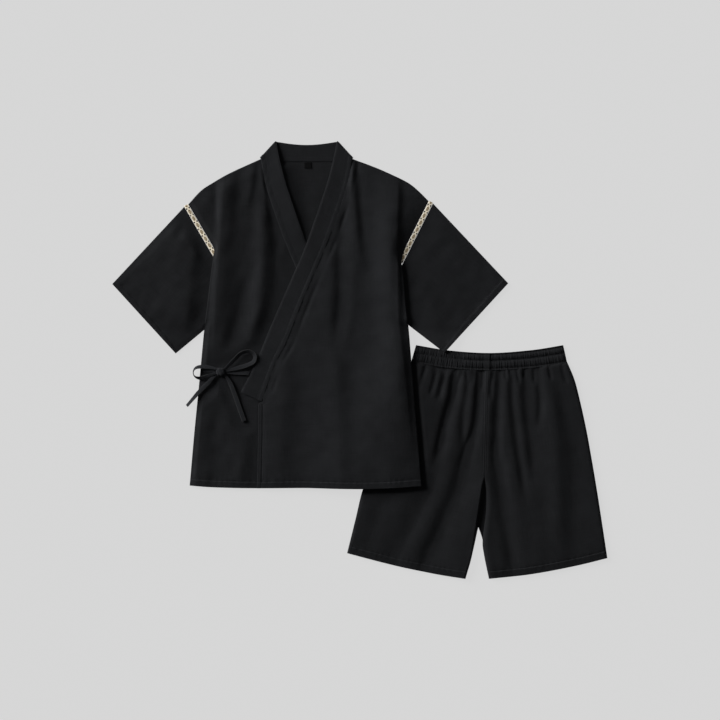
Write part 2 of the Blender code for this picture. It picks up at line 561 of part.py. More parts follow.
BLACK_COTTON = make_material("black_cotton", (0.013, 0.014, 0.016), 0.95)
CREAM_TAPE = make_material("cream_tape", (0.62, 0.53, 0.38), 0.85)
LABEL = make_material("label_black", (0.006, 0.006, 0.007), 0.7)

make_back(BLACK_COTTON)
make_fronts(BLACK_COTTON)
make_collar(BLACK_COTTON)
make_sleeves(BLACK_COTTON)
make_tapes(CREAM_TAPE)
make_label(LABEL)
make_legs(BLACK_COTTON)
make_waistband(BLACK_COTTON)
make_bow(BLACK_COTTON)
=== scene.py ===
"""The looks of a men's jinbei set laid flat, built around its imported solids.

+X runs to the wearer's left, +Y towards the collar and +Z up from the surface at z = 0. Points and
sizes are in millimetres unless a comment says metres, and make_mesh turns them into metres.
"""

import bpy
import numpy as np
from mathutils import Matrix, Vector


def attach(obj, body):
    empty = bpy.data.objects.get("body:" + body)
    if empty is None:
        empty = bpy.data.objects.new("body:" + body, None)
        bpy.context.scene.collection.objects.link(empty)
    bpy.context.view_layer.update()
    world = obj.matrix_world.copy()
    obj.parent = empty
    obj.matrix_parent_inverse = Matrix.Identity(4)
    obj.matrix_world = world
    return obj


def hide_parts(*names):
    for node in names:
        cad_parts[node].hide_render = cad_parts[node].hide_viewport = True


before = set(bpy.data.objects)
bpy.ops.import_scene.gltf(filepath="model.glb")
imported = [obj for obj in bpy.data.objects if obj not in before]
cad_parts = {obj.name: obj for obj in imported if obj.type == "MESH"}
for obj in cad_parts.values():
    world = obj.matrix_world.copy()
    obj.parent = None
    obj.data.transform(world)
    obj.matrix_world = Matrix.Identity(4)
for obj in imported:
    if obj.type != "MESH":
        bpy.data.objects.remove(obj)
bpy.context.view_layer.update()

# ---- The surface, the light and the camera ---------------------------------------------------------
# The set lies on a pale studio table under one large soft lamp from the upper left and an even pale
# room, and it is seen from straight above. The sizes here are in metres.

FLOOR_COLOUR = (0.04, 0.04, 0.04, 1.0)
FLOOR_GLOW = 0.641
FLOOR_HALF_WIDTH = 40.0
FLOOR_DROP = 0.0002
WHITE = (1.0, 1.0, 1.0, 1.0)
CAMERA_HEIGHT = 4.0
CAMERA_X = 0.00055
VIEW_WIDTH = 1.5984
SENSOR_WIDTH = 36.0
CLOTH_HEIGHT = 0.006
LAMP_FROM = (-0.85, 0.52, 0.315)
LAMP_STRENGTH = 7.7
LAMP_SPREAD = 0.48
ROOM_LIGHT = 0.15

floor_mesh = bpy.data.meshes.new("floor")
corner = FLOOR_HALF_WIDTH
floor_corners = [(-corner, -corner, 0), (corner, -corner, 0), (corner, corner, 0), (-corner, corner, 0)]
floor_mesh.from_pydata(floor_corners, [], [(0, 1, 2, 3)])
floor = bpy.data.objects.new("floor", floor_mesh)
floor.location.z = -FLOOR_DROP
bpy.context.collection.objects.link(floor)
floor_finish = bpy.data.materials.new("pale_floor")
floor_finish.use_nodes = True
floor_shader = floor_finish.node_tree.nodes["Principled BSDF"]
floor_shader.inputs["Base Color"].default_value = FLOOR_COLOUR
floor_shader.inputs["Roughness"].default_value = 1.0
floor_shader.inputs["Specular IOR Level"].default_value = 0.0
floor_shader.inputs["Emission Color"].default_value = WHITE
floor_shader.inputs["Emission Strength"].default_value = FLOOR_GLOW
floor_mesh.materials.append(floor_finish)

room = bpy.data.worlds.new("studio")
room.use_nodes = True
room.node_tree.nodes["Background"].inputs["Color"].default_value = WHITE
room.node_tree.nodes["Background"].inputs["Strength"].default_value = ROOM_LIGHT
bpy.context.scene.world = room

lamp = bpy.data.objects.new("soft_lamp", bpy.data.lights.new("soft_lamp", "SUN"))
lamp.data.energy = LAMP_STRENGTH
lamp.data.angle = LAMP_SPREAD
lamp.rotation_euler = Vector(LAMP_FROM).to_track_quat("Z", "Y").to_euler()
bpy.context.collection.objects.link(lamp)

camera = bpy.data.objects.new("camera", bpy.data.cameras.new("camera"))
camera.data.sensor_width = SENSOR_WIDTH
camera.data.lens = SENSOR_WIDTH * (CAMERA_HEIGHT - CLOTH_HEIGHT) / VIEW_WIDTH
camera.location = (CAMERA_X, 0.0, CAMERA_HEIGHT)
bpy.context.collection.objects.link(camera)
bpy.context.scene.camera = camera
bpy.context.scene.view_settings.view_transform = "Standard"

# ---- The jacket's back -----------------------------------------------------------------------------
# One panel of plain-woven black cotton with a fine slub, flat on the table. Its hem is turned up twice
# and stitched, and its corner at the wearer's left hip climbs over the shorts.

CLOTH = 1.2
SEAM_GAP = 0.3
LAYER = CLOTH + SEAM_GAP
CAUGHT_IN = 1.4
COLLAR_CENTRE_X = -118.0
BACK_NECK_Y = 440.7
HEM = ((-378, -279), (-323, -283), (-228, -285), (-133, -284), (-33, -286), (45, -285.5), (137, -280))
HEM_DEPTH = 14.0
HEM_BULK = 0.7
HEM_PULL = 0.38
LEFT_SIDE = ((137, -280), (130, -189), (121.5, -93), (114, 3), (108, 76))
LEFT_SHOULDER = ((-16, 447), (29, 430), (71, 412), (107, 394), (130, 376), (152, 353.5))
LEFT_ARMHOLE = ((158, 350.4), (131, 296.8), (104.1, 243.1), (84, 203), (77, 178), (79, 145), (89, 107),
                (107, 77))
RIGHT_SIDE = ((-378, -279), (-368, -165), (-361, -94), (-355, -32), (-346, 64))
RIGHT_SHOULDER = ((-220, 444), (-257, 430), (-295, 412), (-326, 394), (-353, 376), (-380, 347.5))
RIGHT_ARMHOLE = ((-385.5, 343.2), (-355.4, 291.5), (-325.2, 239.6), (-311, 215), (-307, 190), (-311, 150),
                 (-323, 107), (-345, 66))
TAPE_WIDTH = 9.6
TAPED_LENGTH = 150.0
UNTAPED_GAP = 1.2
LIFT = 6.2
LIFT_RAMP = 45.0
SIDE_RAMP = 110.0
LAYER_AIR = 1.6

# The jacket lies on the shorts to the right of both of these lines, as one goes along them: the first
# runs up beside its side seam, and the second along the shorts' waist.
LIFT_LINES = (((-3, -290), (106, -4)), ((122, 35), (200, 22)))

BACK_LENGTH = 720.0
BACK_WIDTH = 515.0
BACK_STEP = 7.0
NECK_CORNER_DROP = 1.5
INSIDE_LOW = 150.0
INSIDE_HIGH = 440.0

# A crease is its route, its width to the left and to the right of the route, and its rise.
BACK_CREASES = (
    (((-226, 600), (-190, 440), (-172, 375), (-128, 249), (-74, 120)), 24, 9, 3.9),
    (((-200, 640), (-176, 440), (-164, 390), (-146, 320)), 24, 12, 2.6),
    (((-150, 400), (-140, 300), (-150, 180)), 16, 16, 0.8),
    (((-95, 410), (-100, 330), (-92, 240)), 14, 14, 0.6))
BLACK = (0.0043, 0.0046, 0.0054, 1.0)
BLACK_WORN = (0.0072, 0.0077, 0.0090, 1.0)
# The paler black that the painted light places blend towards.
BLACK_PAINTED_LIT = (0.0102, 0.0108, 0.0124, 1.0)

# A painted light place is a soft paler patch of colour that stands in for the soft lamp's light: its centre
# and its reach across and up, in metres, and how strongly it shows.
PAINTED_LIGHT_PLACES = (((0.045, 0.20), (0.052, 0.20), 0.75), ((-0.06, -0.09), (0.13, 0.24), 0.30))
WORN_EDGE = (0.0200, 0.0205, 0.0208, 1.0)
CROWDED = 0.18

# The weave's pitch and depth are in metres.
THREAD_PITCH = 0.00072
SLUB_SCALES = ((900.0, 26.0, 1.0), (22.0, 760.0, 1.0))
COTTON_BUMP = 0.00028


class Finish:
    """A material's nodes. Its node method adds any of them."""

    def __init__(self, name, **settings):
        self.material = bpy.data.materials.new(name)
        self.material.use_nodes = True
        self.tree = self.material.node_tree
        self.shader = self.tree.nodes["Principled BSDF"]
        for socket, value in settings.items():
            self.put(self.shader.inputs[socket.replace("_", " ")], value)

    def put(self, socket, value):
        """Links a value to a socket, or sets a plain number or colour on it."""
        if isinstance(value, Value):
            self.tree.links.new(value.socket, socket)
        else:
            socket.default_value = value

    def node(self, kind, settings=None, inputs=None, output=0):
        """Adds a node from its type, its settings and the values or links of its sockets."""
        node = self.tree.nodes.new(kind)
        for setting, value in (settings or {}).items():
            setattr(node, setting, value)
        for socket, value in (inputs or {}).items():
            self.put(node.inputs[socket], value)
        return Value(self, node.outputs[output])

    def mix(self, factor, low, high):
        """A colour between two others, by a factor from 0 to 1."""
        return self.node("ShaderNodeMix", {"data_type": "RGBA"}, {0: factor, 6: low, 7: high}, 2)

    def noise(self, place, scale, detail=2.0):
        """Soft noise from 0 to 1 at a place."""
        return self.node("ShaderNodeTexNoise", None, {"Vector": place, "Scale": scale, "Detail": detail})

    def finish(self, colour, roughness, height, depth):
        """Puts the colour, the roughness and a bump of the height, depth metres deep, on the shader."""
        self.put(self.shader.inputs["Base Color"], colour)
        self.put(self.shader.inputs["Roughness"], roughness)
        bump = self.node("ShaderNodeBump", None, {"Distance": depth, "Height": height})
        self.put(self.shader.inputs["Normal"], bump)
        return self.material


class Value:
    """A shader value that is worked with like a number; each sum adds a Math node."""

    def __init__(self, finish, socket):
        self.finish = finish
        self.socket = socket

    def maths(self, operation, first, second=0.0):
        return self.finish.node("ShaderNodeMath", {"operation": operation}, {0: first, 1: second})

    def __add__(self, other):
        return self.maths("ADD", self, other)

    def __sub__(self, other):
        return self.maths("SUBTRACT", self, other)

    def __rsub__(self, other):
        return self.maths("SUBTRACT", other, self)

    def __mul__(self, other):
        return self.maths("MULTIPLY", self, other)

    def __truediv__(self, other):
        return self.maths("DIVIDE", self, other)

    def __rtruediv__(self, other):
        return self.maths("DIVIDE", other, self)

    __radd__ = __add__
    __rmul__ = __mul__

    def sine(self):
        return self.maths("SINE", self)

    def clamped(self):
        return self.maths("MINIMUM", self.maths("MAXIMUM", self, 0.0), 1.0)


def woven(finish, place, pitch):
    """A plain weave with slubs, at a place in metres: its height from 0 to 1, and its slubs from 0 to 1.

    The height is half of one plus sin(2 pi u / pitch) sin(2 pi v / pitch), and each slub is a noise
    drawn out along one of the two threads.
    """
    parts = [finish.node("ShaderNodeSeparateXYZ", None, {0: place}, axis) for axis in (0, 1)]
    waves = [(part * (2 * np.pi / pitch)).sine() for part in parts]
    slubs = []
    for scale in SLUB_SCALES:
        drawn_out = finish.node("ShaderNodeVectorMath", {"operation": "MULTIPLY"}, {0: place, 1: scale})
        slubs.append(finish.noise(drawn_out, scale=1.0, detail=3.0))
    slub = (slubs[0] + slubs[1]) * 0.5
    return waves[0] * waves[1] * 0.5 + 0.5, slub


def black_cotton(name, shade=1.0, half_width=0.0):
    """Matt black cotton: slubs and soft mottling in its colour, its weave and slubs in its bump.

    shade makes a piece's colour paler or darker than the others'; for the collar this is painted light. A
    tie's folded edges, half its width from its middle, are worn paler. The colour is also painted paler about
    a few places, as painted light.
    """
    finish = Finish(name, Sheen_Weight=0.012, Sheen_Roughness=0.6, Specular_IOR_Level=0.14)
    place = finish.node("ShaderNodeUVMap", {"uv_map": "grain"})
    weave, slub = woven(finish, place, THREAD_PITCH)
    blotches = finish.noise(place, scale=34.0, detail=4.0)
    clouds = finish.noise(place, scale=9.0)
    worn = ((slub - 0.5) * 2.6 + (blotches - 0.5) * 0.9 + (clouds - 0.5) * 0.7 + 0.42).clamped()
    shades = [tuple(shade * part for part in tone[:3]) + (1.0,) for tone in (BLACK, BLACK_WORN)]
    colour = finish.mix(worn, *shades)
    if half_width:
        aside = finish.node("ShaderNodeSeparateXYZ", None, {0: place}) / half_width
        colour = finish.mix(((aside * aside - 0.5) * 2.0).clamped(), colour, WORN_EDGE)
    where = finish.node("ShaderNodeTexCoord", None, None, 3)
    across, up = (finish.node("ShaderNodeSeparateXYZ", None, {0: where}, axis) for axis in (0, 1))
    # Painted light: the colour turns paler towards the centre of each of these places.
    for centre, reach, share in PAINTED_LIGHT_PLACES:
        aside, above = (across - centre[0]) / reach[0], (up - centre[1]) / reach[1]
        near = 1.0 / (aside * aside + above * above + 1.0)
        colour = finish.mix(near * near * share, colour, BLACK_PAINTED_LIT)
    return finish.finish(colour, 0.95 - 0.12 * worn, weave * 0.35 + slub, COTTON_BUMP)


COTTON = black_cotton("black_cotton_cloth")


def smooth(value):
    """0 to 1 with a soft start and end: 3 t squared less 2 t cubed, for t from 0 to 1."""
    t = np.clip(value, 0.0, 1.0)
    return t * t * (3.0 - 2.0 * t)


def run_along(points):
    """The distance along a line of points, at each of them."""
    return np.append(0.0, np.linalg.norm(np.diff(points, axis=0), axis=1).cumsum())


def unit(vectors):
    """A list of vectors, each scaled to a length of 1."""
    return vectors / np.linalg.norm(vectors, axis=1, keepdims=True)


def curve(points, fractions):
    """Points on a smooth curve (Catmull-Rom) through a table of points, at fractions of its length."""
    table = np.asarray(points, float)
    padded = np.vstack((2 * table[0] - table[1], table, 2 * table[-1] - table[-2]))
    steps = np.linspace(0.0, 1.0, 12, endpoint=False)[:, None]
    spans = []
    for before, start, end, after in zip(padded, padded[1:], padded[2:], padded[3:]):
        spans.append(0.5 * (2 * start + (end - before) * steps
                            + (2 * before - 5 * start + 4 * end - after) * steps ** 2
                            + (3 * start - before - 3 * end + after) * steps ** 3))
    fine = np.vstack(spans + [table[-1:]])
    length = run_along(fine)
    return np.stack([np.interp(np.asarray(fractions) * length[-1], length, axis) for axis in fine.T], axis=-1)


def line_length(points):
    """The length of a smooth curve through a table of points."""
    fine = curve(points, np.linspace(0.0, 1.0, 80))
    return np.linalg.norm(np.diff(fine, axis=0), axis=1).sum()


def shifted(points, distance):
    """A line's points moved sideways, to its left, by a distance in its plane."""
    along = unit(np.gradient(points, axis=0))
    return points + np.stack((-along[:, 1], along[:, 0]), axis=1) * np.reshape(distance, (-1, 1))


def mirrored(points):
    """The points of one front's edge, mirrored to the other front."""
    return tuple((2 * COLLAR_CENTRE_X - x, y) for x, y in points)


def chained(*runs):
    """Points along several curves end to end; each run is a table and its fractions, and they share ends."""
    parts = [curve(table, fractions) for table, fractions in runs]
    return np.vstack([part[:-1] for part in parts[:-1]] + [parts[-1]])


def stations(length, step, fine_at=(), dense=()):
    """Fractions along a length: one every step, and more at both edges and beside each stitched line.

    dense holds stretches with a closer step of their own: where each starts and ends, and its step.
    Places that would crowd each other are left out.
    """
    places = [np.linspace(0.0, length, max(2, int(length / step)))]
    beside_edge = np.array((0.0, 0.25, 0.7, 1.3, 2.2, 3.6))
    beside_line = np.array((-3.2, -2.2, -1.4, -0.8, -0.3, 0.3, 0.8, 1.4, 2.2, 3.2))
    places += [beside_edge, length - beside_edge]
    for start, end, close_step in dense:
        places.append(np.arange(start, end, close_step))
    for line in fine_at:
        places.append(line + beside_line)
    places = np.unique(np.clip(np.concatenate(places), 0.0, length))
    keep = np.append(True, np.diff(places) > CROWDED)
    keep[-1] = True
    return places[keep] / length


def panel(bottom, top, near, far, across, up):
    """A Coons patch: the plan of a panel between four edges, rows by columns of x, y.

    bottom and top are tables, sampled at the fractions across; near and far hold a point for each row.
    Each point is the blend of the two rulings across and up, less the blend of the four corners.
    """
    s = np.asarray(across)[None, :, None]
    t = np.asarray(up)[:, None, None]
    low, high = curve(bottom, across)[None], curve(top, across)[None]
    corners = (1 - s) * (1 - t) * near[0] + s * (1 - t) * far[0] + (1 - s) * t * near[-1] + s * t * far[-1]
    return (1 - t) * low + t * high + (1 - s) * near[:, None] + s * far[:, None] - corners


def crease(plan, route, left_width, right_width, rise):
    """Height of one soft ridge, or trough where rise is negative, over a plan.

    The height is rise times e to the minus squared distance from the route over squared width, with a
    width of its own on each side of the route. It fades over the first and the last quarter of the route.
    """
    line = curve(route, np.linspace(0.0, 1.0, 21))
    start, run = line[:-1], np.diff(line, axis=0)
    reach = plan[..., None, :] - start
    part = np.clip((reach * run).sum(-1) / (run ** 2).sum(-1), 0.0, 1.0)
    miss = reach - part[..., None] * run
    distance = (miss ** 2).sum(-1)
    nearest = distance.argmin(-1)[..., None]
    side = run[:, 0] * miss[..., 1] - run[:, 1] * miss[..., 0]
    distance, side, part = (np.take_along_axis(values, nearest, -1)[..., 0]
                            for values in (distance, side, part))
    along = (part + nearest[..., 0]) / len(run)
    width = np.where(side > 0, left_width, right_width)
    return rise * np.exp(-distance / width ** 2) * smooth(along / 0.25) * smooth((1 - along) / 0.25)


def relief(plan, table):
    """The sum of a table's creases over a plan."""
    return sum(crease(plan, *row) for row in table)


def unevenness(plan, seed, wavelength, height):
    """The small unevenness of pressed cloth: 14 sine waves in drawn directions, added and evened out."""
    draw = np.random.default_rng(seed)
    total = np.zeros(plan.shape[:-1])
    for _ in range(14):
        angle, phase, stretch = draw.uniform(0, np.pi), draw.uniform(0, 2 * np.pi), draw.uniform(0.6, 1.8)
        run = plan[..., 0] * np.cos(angle) + plan[..., 1] * np.sin(angle)
        total += np.sin(2 * np.pi * run / (wavelength * stretch) + phase)
    return height * total / np.sqrt(14)


def settled(height, give=0.5):
    """Keeps a height above nought: give times the log of 1 plus e to the height over give."""
    return give * np.logaddexp(0.0, height / give)


def right_of(plan, line, ramp):
    """1 to the right of a line from its first point to its second, falling to 0 over a ramp."""
    start, end = np.asarray(line, float)
    run = (end - start) / np.linalg.norm(end - start)
    return smooth(1.0 + (plan - start) @ np.array((run[1], -run[0])) / ramp)


def lifted(plan, sooner=0.0):
    """How far the jacket climbs where it lies on the shorts, from 0 to 1."""
    side_line, waist_line = LIFT_LINES
    return right_of(plan, side_line, SIDE_RAMP + sooner) * right_of(plan, waist_line, LIFT_RAMP + sooner)


def layer_climb(plan, layers):
    """The climb of a front: the back's own, and a little air for each layer, which opens sooner."""
    return LIFT * lifted(plan) + LAYER_AIR * layers * lifted(plan, LIFT_RAMP)


def armhole_gap(length):
    """Half the gap in the armhole seam: the tape's half width where it runs, and narrow below it."""
    taped = 1 - smooth((length - TAPED_LENGTH - 6) / 40)
    return UNTAPED_GAP + taped * (0.5 * TAPE_WIDTH + 2 * SEAM_GAP - UNTAPED_GAP)


def armhole_edge(armhole, turn):
    """One edge of the armhole seam, from the shoulder's tip to the underarm: the body's or the sleeve's."""
    fractions = np.linspace(0.0, 1.0, 40)
    return shifted(curve(armhole, fractions), turn * armhole_gap(fractions * line_length(armhole)))


def edge_distances(plan):
    """How far each point of a plan is from its left, right, low and high edge, along its row or column."""
    across = np.linalg.norm(np.diff(plan, axis=1), axis=-1).cumsum(axis=1)
    across = np.hstack((np.zeros((len(plan), 1)), across))
    up = np.linalg.norm(np.diff(plan, axis=0), axis=-1).cumsum(axis=0)
    up = np.vstack((np.zeros((1, plan.shape[1])), up))
    return across, across[:, -1:] - across, up, up[-1:] - up


def edge_fullness(distance):
    """The share of a cloth's thickness at a distance from its edge: 0.15 there, and all of it 1 mm in."""
    return 0.15 + 0.85 * rounded(distance, 1.0)


def turnings(distance, depth, step=1.6):
    """1 where the cloth turned in along an edge lies, falling to 0 over a step at its depth."""
    return smooth((depth - distance) / step + 0.5)


def rounded(distance, radius):
    """The rise of a round edge, from 0 at the edge to 1 at the radius: a quarter of a circle."""
    return np.sqrt(1 - (1 - np.clip(distance / radius, 0.0, 1.0)) ** 2)


def groove(distance, line, half_width=1.1):
    """How deep a stitched line pulls the cloth in, from 0 to 1: a bell about the line."""
    return np.exp(-((distance - line) / half_width) ** 2)


def quads(rows, columns, first=0, wrap=False):
    """Four-sided faces between the points of a grid, closed round in columns when it wraps."""
    last = columns if wrap else columns - 1
    row, column = np.meshgrid(np.arange(rows - 1), np.arange(last), indexing="ij")
    here = row * columns + column
    beside = row * columns + (column + 1) % columns
    return np.stack((here, beside, beside + columns, here + columns), axis=-1).reshape(-1, 4) + first


def make_mesh(name, points, faces, finish, grain=None):
    """A piece from points in millimetres and four-sided faces, turned so that they face outward.

    The grain map is the pattern's place on the cloth, a pair in metres for each point.
    """
    corners = points[faces]
    normals = np.cross(corners[:, 2] - corners[:, 0], corners[:, 3] - corners[:, 1])
    if (corners.mean(axis=1) * normals).sum() < 0:
        faces = faces[:, ::-1]
    mesh = bpy.data.meshes.new(name)
    mesh.vertices.add(len(points))
    mesh.vertices.foreach_set("co", (points * 0.001).astype(np.float32).ravel())
    mesh.loops.add(faces.size)
    mesh.loops.foreach_set("vertex_index", faces.astype(np.int32).ravel())
    mesh.polygons.add(len(faces))
    mesh.polygons.foreach_set("loop_start", np.arange(0, faces.size, 4, dtype=np.int32))
    mesh.update(calc_edges=True)
    mesh.polygons.foreach_set("use_smooth", np.ones(len(faces), dtype=bool))
    if grain is not None:
        layer = mesh.uv_layers.new(name="grain")
        layer.data.foreach_set("uv", (grain[faces] * 0.001).astype(np.float32).ravel())
    mesh.validate()
    mesh.materials.append(finish)
    piece = bpy.data.objects.new(name, mesh)
    bpy.context.collection.objects.link(piece)
    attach(piece, "root")
    return piece


def turned_grain(plan, angle):
    """The place on the cloth of each point of a plan, with the grain turned by an angle in degrees."""
    turn = np.radians(angle)
    return np.stack((plan[..., 0] * np.cos(turn) + plan[..., 1] * np.sin(turn),
                     plan[..., 1] * np.cos(turn) - plan[..., 0] * np.sin(turn)), axis=-1)


def make_shell(name, outer, inner, grain, finish):
    """A thin closed wall: its outer and inner faces on one grid, and a rim that joins their edges."""
    rows, columns = outer.shape[:2]
    count = rows * columns
    index = np.arange(count).reshape(rows, columns)
    rim = np.concatenate((index[0], index[1:, -1], index[-1, -2::-1], index[-2:0:-1, 0]))
    rim_next = np.roll(rim, -1)
    walls = np.stack((rim, rim + count, rim_next + count, rim_next), axis=-1)
    faces = np.vstack((quads(rows, columns), quads(rows, columns, count)[:, ::-1], walls))
    points = np.vstack((outer.reshape(-1, 3), inner.reshape(-1, 3)))
    return make_mesh(name, points, faces, finish, np.vstack((grain.reshape(-1, 2),) * 2))


def cloth_sheet(name, plan, underside, bulk, angle, finish=COTTON):
    """A panel's shell over a plan: its underside, a thickness of cloth and bulk above it, with round edges.

    Returns the piece and its upper face's points.
    """
    half = 0.5 * (CLOTH + bulk)
    full = edge_fullness(np.minimum.reduce(edge_distances(plan)))
    middle = underside + 0.5 * CLOTH + 0.5 * bulk
    outer = np.dstack((plan, middle + half * full))
    inner = np.dstack((plan, np.maximum(middle - half * full, 0.0)))
    return make_shell(name, outer, inner, turned_grain(plan, angle), finish), outer


def line_at(face, distance):
    """A line over a face, at a distance from its first row, with a point for each column."""
    run = np.linalg.norm(np.diff(face, axis=0), axis=-1).cumsum(axis=0)
    run = np.vstack((np.zeros((1, face.shape[1])), run))
    after = np.clip((run < distance).sum(axis=0), 1, len(face) - 1)[None]
    low, high = np.take_along_axis(run, after - 1, 0), np.take_along_axis(run, after, 0)
    share = ((distance - low) / np.maximum(high - low, 1e-9))[..., None]
    before_points = np.take_along_axis(face, (after - 1)[..., None], 0)
    after_points = np.take_along_axis(face, after[..., None], 0)
    return (before_points + share * (after_points - before_points))[0]


STITCH_ROUND = 6
STITCH_RINGS = ((-0.5, 0.15), (-0.36, 0.8), (0.0, 1.0), (0.36, 0.8), (0.5, 0.15))


def stitch_points(line, pitch, length, width, sunk):
    """Stitches along a line: round-ended grains of thread a pitch apart, half sunk in the cloth.

    Each is a tube of five rings about the line's direction, its radius drawn in at both ends. A ring is
    its place along the stitch, in lengths, and its share of the half width.
    """
    run = run_along(line)
    count = max(2, int(run[-1] / pitch))
    centres = (np.arange(count) + 0.5) * run[-1] / count
    at = [np.stack([np.interp(centres + shift, run, axis) for axis in line.T], axis=-1)
          for shift in (-0.5 * length, 0.5 * length)]
    along = unit(at[1] - at[0])
    side = unit(np.cross(along, (0.0, 0.0, 1.0)))
    up = np.cross(side, along)
    middle = 0.5 * (at[0] + at[1]) - sunk * up
    turn = np.arange(STITCH_ROUND) * 2 * np.pi / STITCH_ROUND
    rings = []
    for place, radius in STITCH_RINGS:
        rings.append(middle[:, None] + place * length * along[:, None]
                     + 0.5 * width * radius * (np.cos(turn)[None, :, None] * side[:, None]
                                               + np.sin(turn)[None, :, None] * up[:, None]))
    points = np.stack(rings, axis=1)
    ends = np.array([[0, 5, 4, 1], [1, 4, 3, 2], [24, 25, 28, 29], [25, 26, 27, 28]])
    one = np.vstack((quads(len(STITCH_RINGS), STITCH_ROUND, wrap=True), ends))
    first = np.arange(count) * len(STITCH_RINGS) * STITCH_ROUND
    return points.reshape(-1, 3), (one[None] + first[:, None, None]).reshape(-1, 4)


THREAD_DARK = (0.008, 0.0083, 0.0092, 1.0)
THREAD_PALE = (0.015, 0.0155, 0.017, 1.0)


def sewn_thread():
    """Black sewing thread, a little glossier than the cloth."""
    finish = Finish("black_thread", Specular_IOR_Level=0.22)
    place = finish.node("ShaderNodeTexCoord", None, None, 3)
    strands = finish.noise(place, scale=2600.0)
    colour = finish.mix(strands, THREAD_DARK, THREAD_PALE)
    return finish.finish(colour, 0.72 - 0.1 * strands, strands, depth=0.0001)


THREAD = sewn_thread()


def make_stitches(name, lines, pitch=3.2, length=2.5, width=0.55, sunk=0.15, finish=THREAD):
    """The stitches of several lines, joined into one piece."""
    points, faces, first = [], [], 0
    for line in lines:
        line_points, line_faces = stitch_points(line, pitch, length, width, sunk)
        points.append(line_points)
        faces.append(line_faces + first)
        first += len(line_points)
    piece = make_mesh(name, np.vstack(points), np.vstack(faces), finish)
    return piece


def back_side(side, armhole, turn):
    """One side of the back, from the hem to the shoulder's tip: its side seam, then its armhole."""
    return np.vstack((curve(side, np.linspace(0, 1, 40))[:-1], armhole_edge(armhole, turn)[::-1]))


back_up = stations(BACK_LENGTH, BACK_STEP, (HEM_DEPTH,))
back_edges = [curve(back_side(side, armhole, turn), back_up)
              for side, armhole, turn in ((RIGHT_SIDE, RIGHT_ARMHOLE, 1), (LEFT_SIDE, LEFT_ARMHOLE, -1))]
low_neck = BACK_NECK_Y + CAUGHT_IN
neck_corner = low_neck - NECK_CORNER_DROP
back_neck = ((-222, neck_corner), (-206, low_neck), (COLLAR_CENTRE_X, low_neck), (-30, low_neck),
             (-14, neck_corner))
back_top = (back_edges[0][-1], *RIGHT_SHOULDER[-2:0:-1], *back_neck, *LEFT_SHOULDER[1:-1], back_edges[1][-1])
back_plan = panel(HEM, back_top, *back_edges, stations(BACK_WIDTH, BACK_STEP), back_up)
back_y = back_plan[..., 1]
inside_neck = smooth((back_y - INSIDE_LOW) / 60) * smooth((INSIDE_HIGH - back_y) / 10)
back_folds = relief(back_plan, BACK_CREASES) + unevenness(back_plan, seed=3, wavelength=60.0, height=0.12)
back_height = LIFT * lifted(back_plan) + inside_neck * settled(back_folds - 0.3, give=0.2)
jacket_back, _ = cloth_sheet("jacket_back_cloth", back_plan, back_height, bulk=0.0, angle=0.0)
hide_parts("jacket_back")

# ---- The sleeves -----------------------------------------------------------------------------------
# Each sleeve is a straight tube of the same cotton, pressed flat: its top folds along the shoulder's line
# and its seam closes it underneath. The cuff is turned in and stitched.

LEFT_CUFF = ((330, 170.5), (188, 16))
RIGHT_CUFF = ((-550, 169), (-409, 14.5))
CUFF_DEPTH = 14.0
SLEEVE_LENGTH = 235.0
SLEEVE_PUCKER = 0.25
CUFF_STEP = 7.0
CUFF_PULL = 0.12
CUFF_LIP = 0.7
FOLD_ROUND = 1.6
SLEEVE_CREASES = {
    "left": (
        (((150, 305), (185, 205), (212, 118)), 34, 40, 1.2),
        (((205, 262), (250, 205), (287, 160)), 24, 30, 0.9),
        (((140, 190), (160, 120), (178, 56)), 16, 20, 1.0)),
    "right": (
        (((-364, 318), (-371, 262), (-379, 190), (-386, 120), (-393, 50)), 25, 80, 6.0),
        (((-388, 318), (-396, 290), (-406, 262)), 9, 10, -1.2),
        (((-432, 255), (-475, 205), (-507, 160)), 26, 24, 0.8),
        (((-376, 150), (-384, 110), (-392, 66)), 14, 16, 0.8))}


def flat_tube(edges, low_across, high_across, up, underside, rise, thickness):
    """The outer and inner rings of a tube of cloth pressed flat, rows by points by x, y, z.

    edges are its four plan curves. A section runs across its low wall and back across its high wall,
    rise above it, and turns round at both folds on a quarter circle; the inner ring lies inside it.
    """
    rings = []
    width = np.linalg.norm(np.subtract(edges[0][-1], edges[0][0]))
    for inset in (0.0, thickness):
        walls = []
        for across, is_high in ((low_across, False), (high_across[-2:0:-1], True)):
            plan = panel(edges[0], edges[1], curve(edges[2], up), curve(edges[3], up),
                         inset / width + across * (1 - 2 * inset / width), up)
            to_fold = np.minimum(across, 1 - across) * width
            full = rounded(to_fold, FOLD_ROUND)
            middle = thickness + 0.5 * SEAM_GAP
            floor_height = underside(plan)
            if is_high:
                height = floor_height + middle + full * (rise(plan, across, up) + middle - inset)
            else:
                height = floor_height + middle - full * (middle - inset)
            walls.append(np.dstack((plan, height)))
        rings.append(np.concatenate(walls, axis=1))
    return rings


def make_tube(name, rings, grain, finish):
    """A closed wall from a tube's outer and inner rings, with a rim at each open end."""
    rows, columns = rings[0].shape[:2]
    count = rows * columns
    index = np.arange(columns)
    beside = np.roll(index, -1)
    ends = [np.stack((index, beside, beside + count, index + count), axis=-1) + row * columns
            for row in (0, rows - 1)]
    faces = np.vstack([quads(rows, columns, 0, True), quads(rows, columns, count, True)[:, ::-1],
                       ends[0][:, ::-1], ends[1]])
    points = np.vstack([ring.reshape(-1, 3) for ring in rings])
    return make_mesh(name, points, faces, finish, np.vstack((grain.reshape(-1, 2),) * 2))


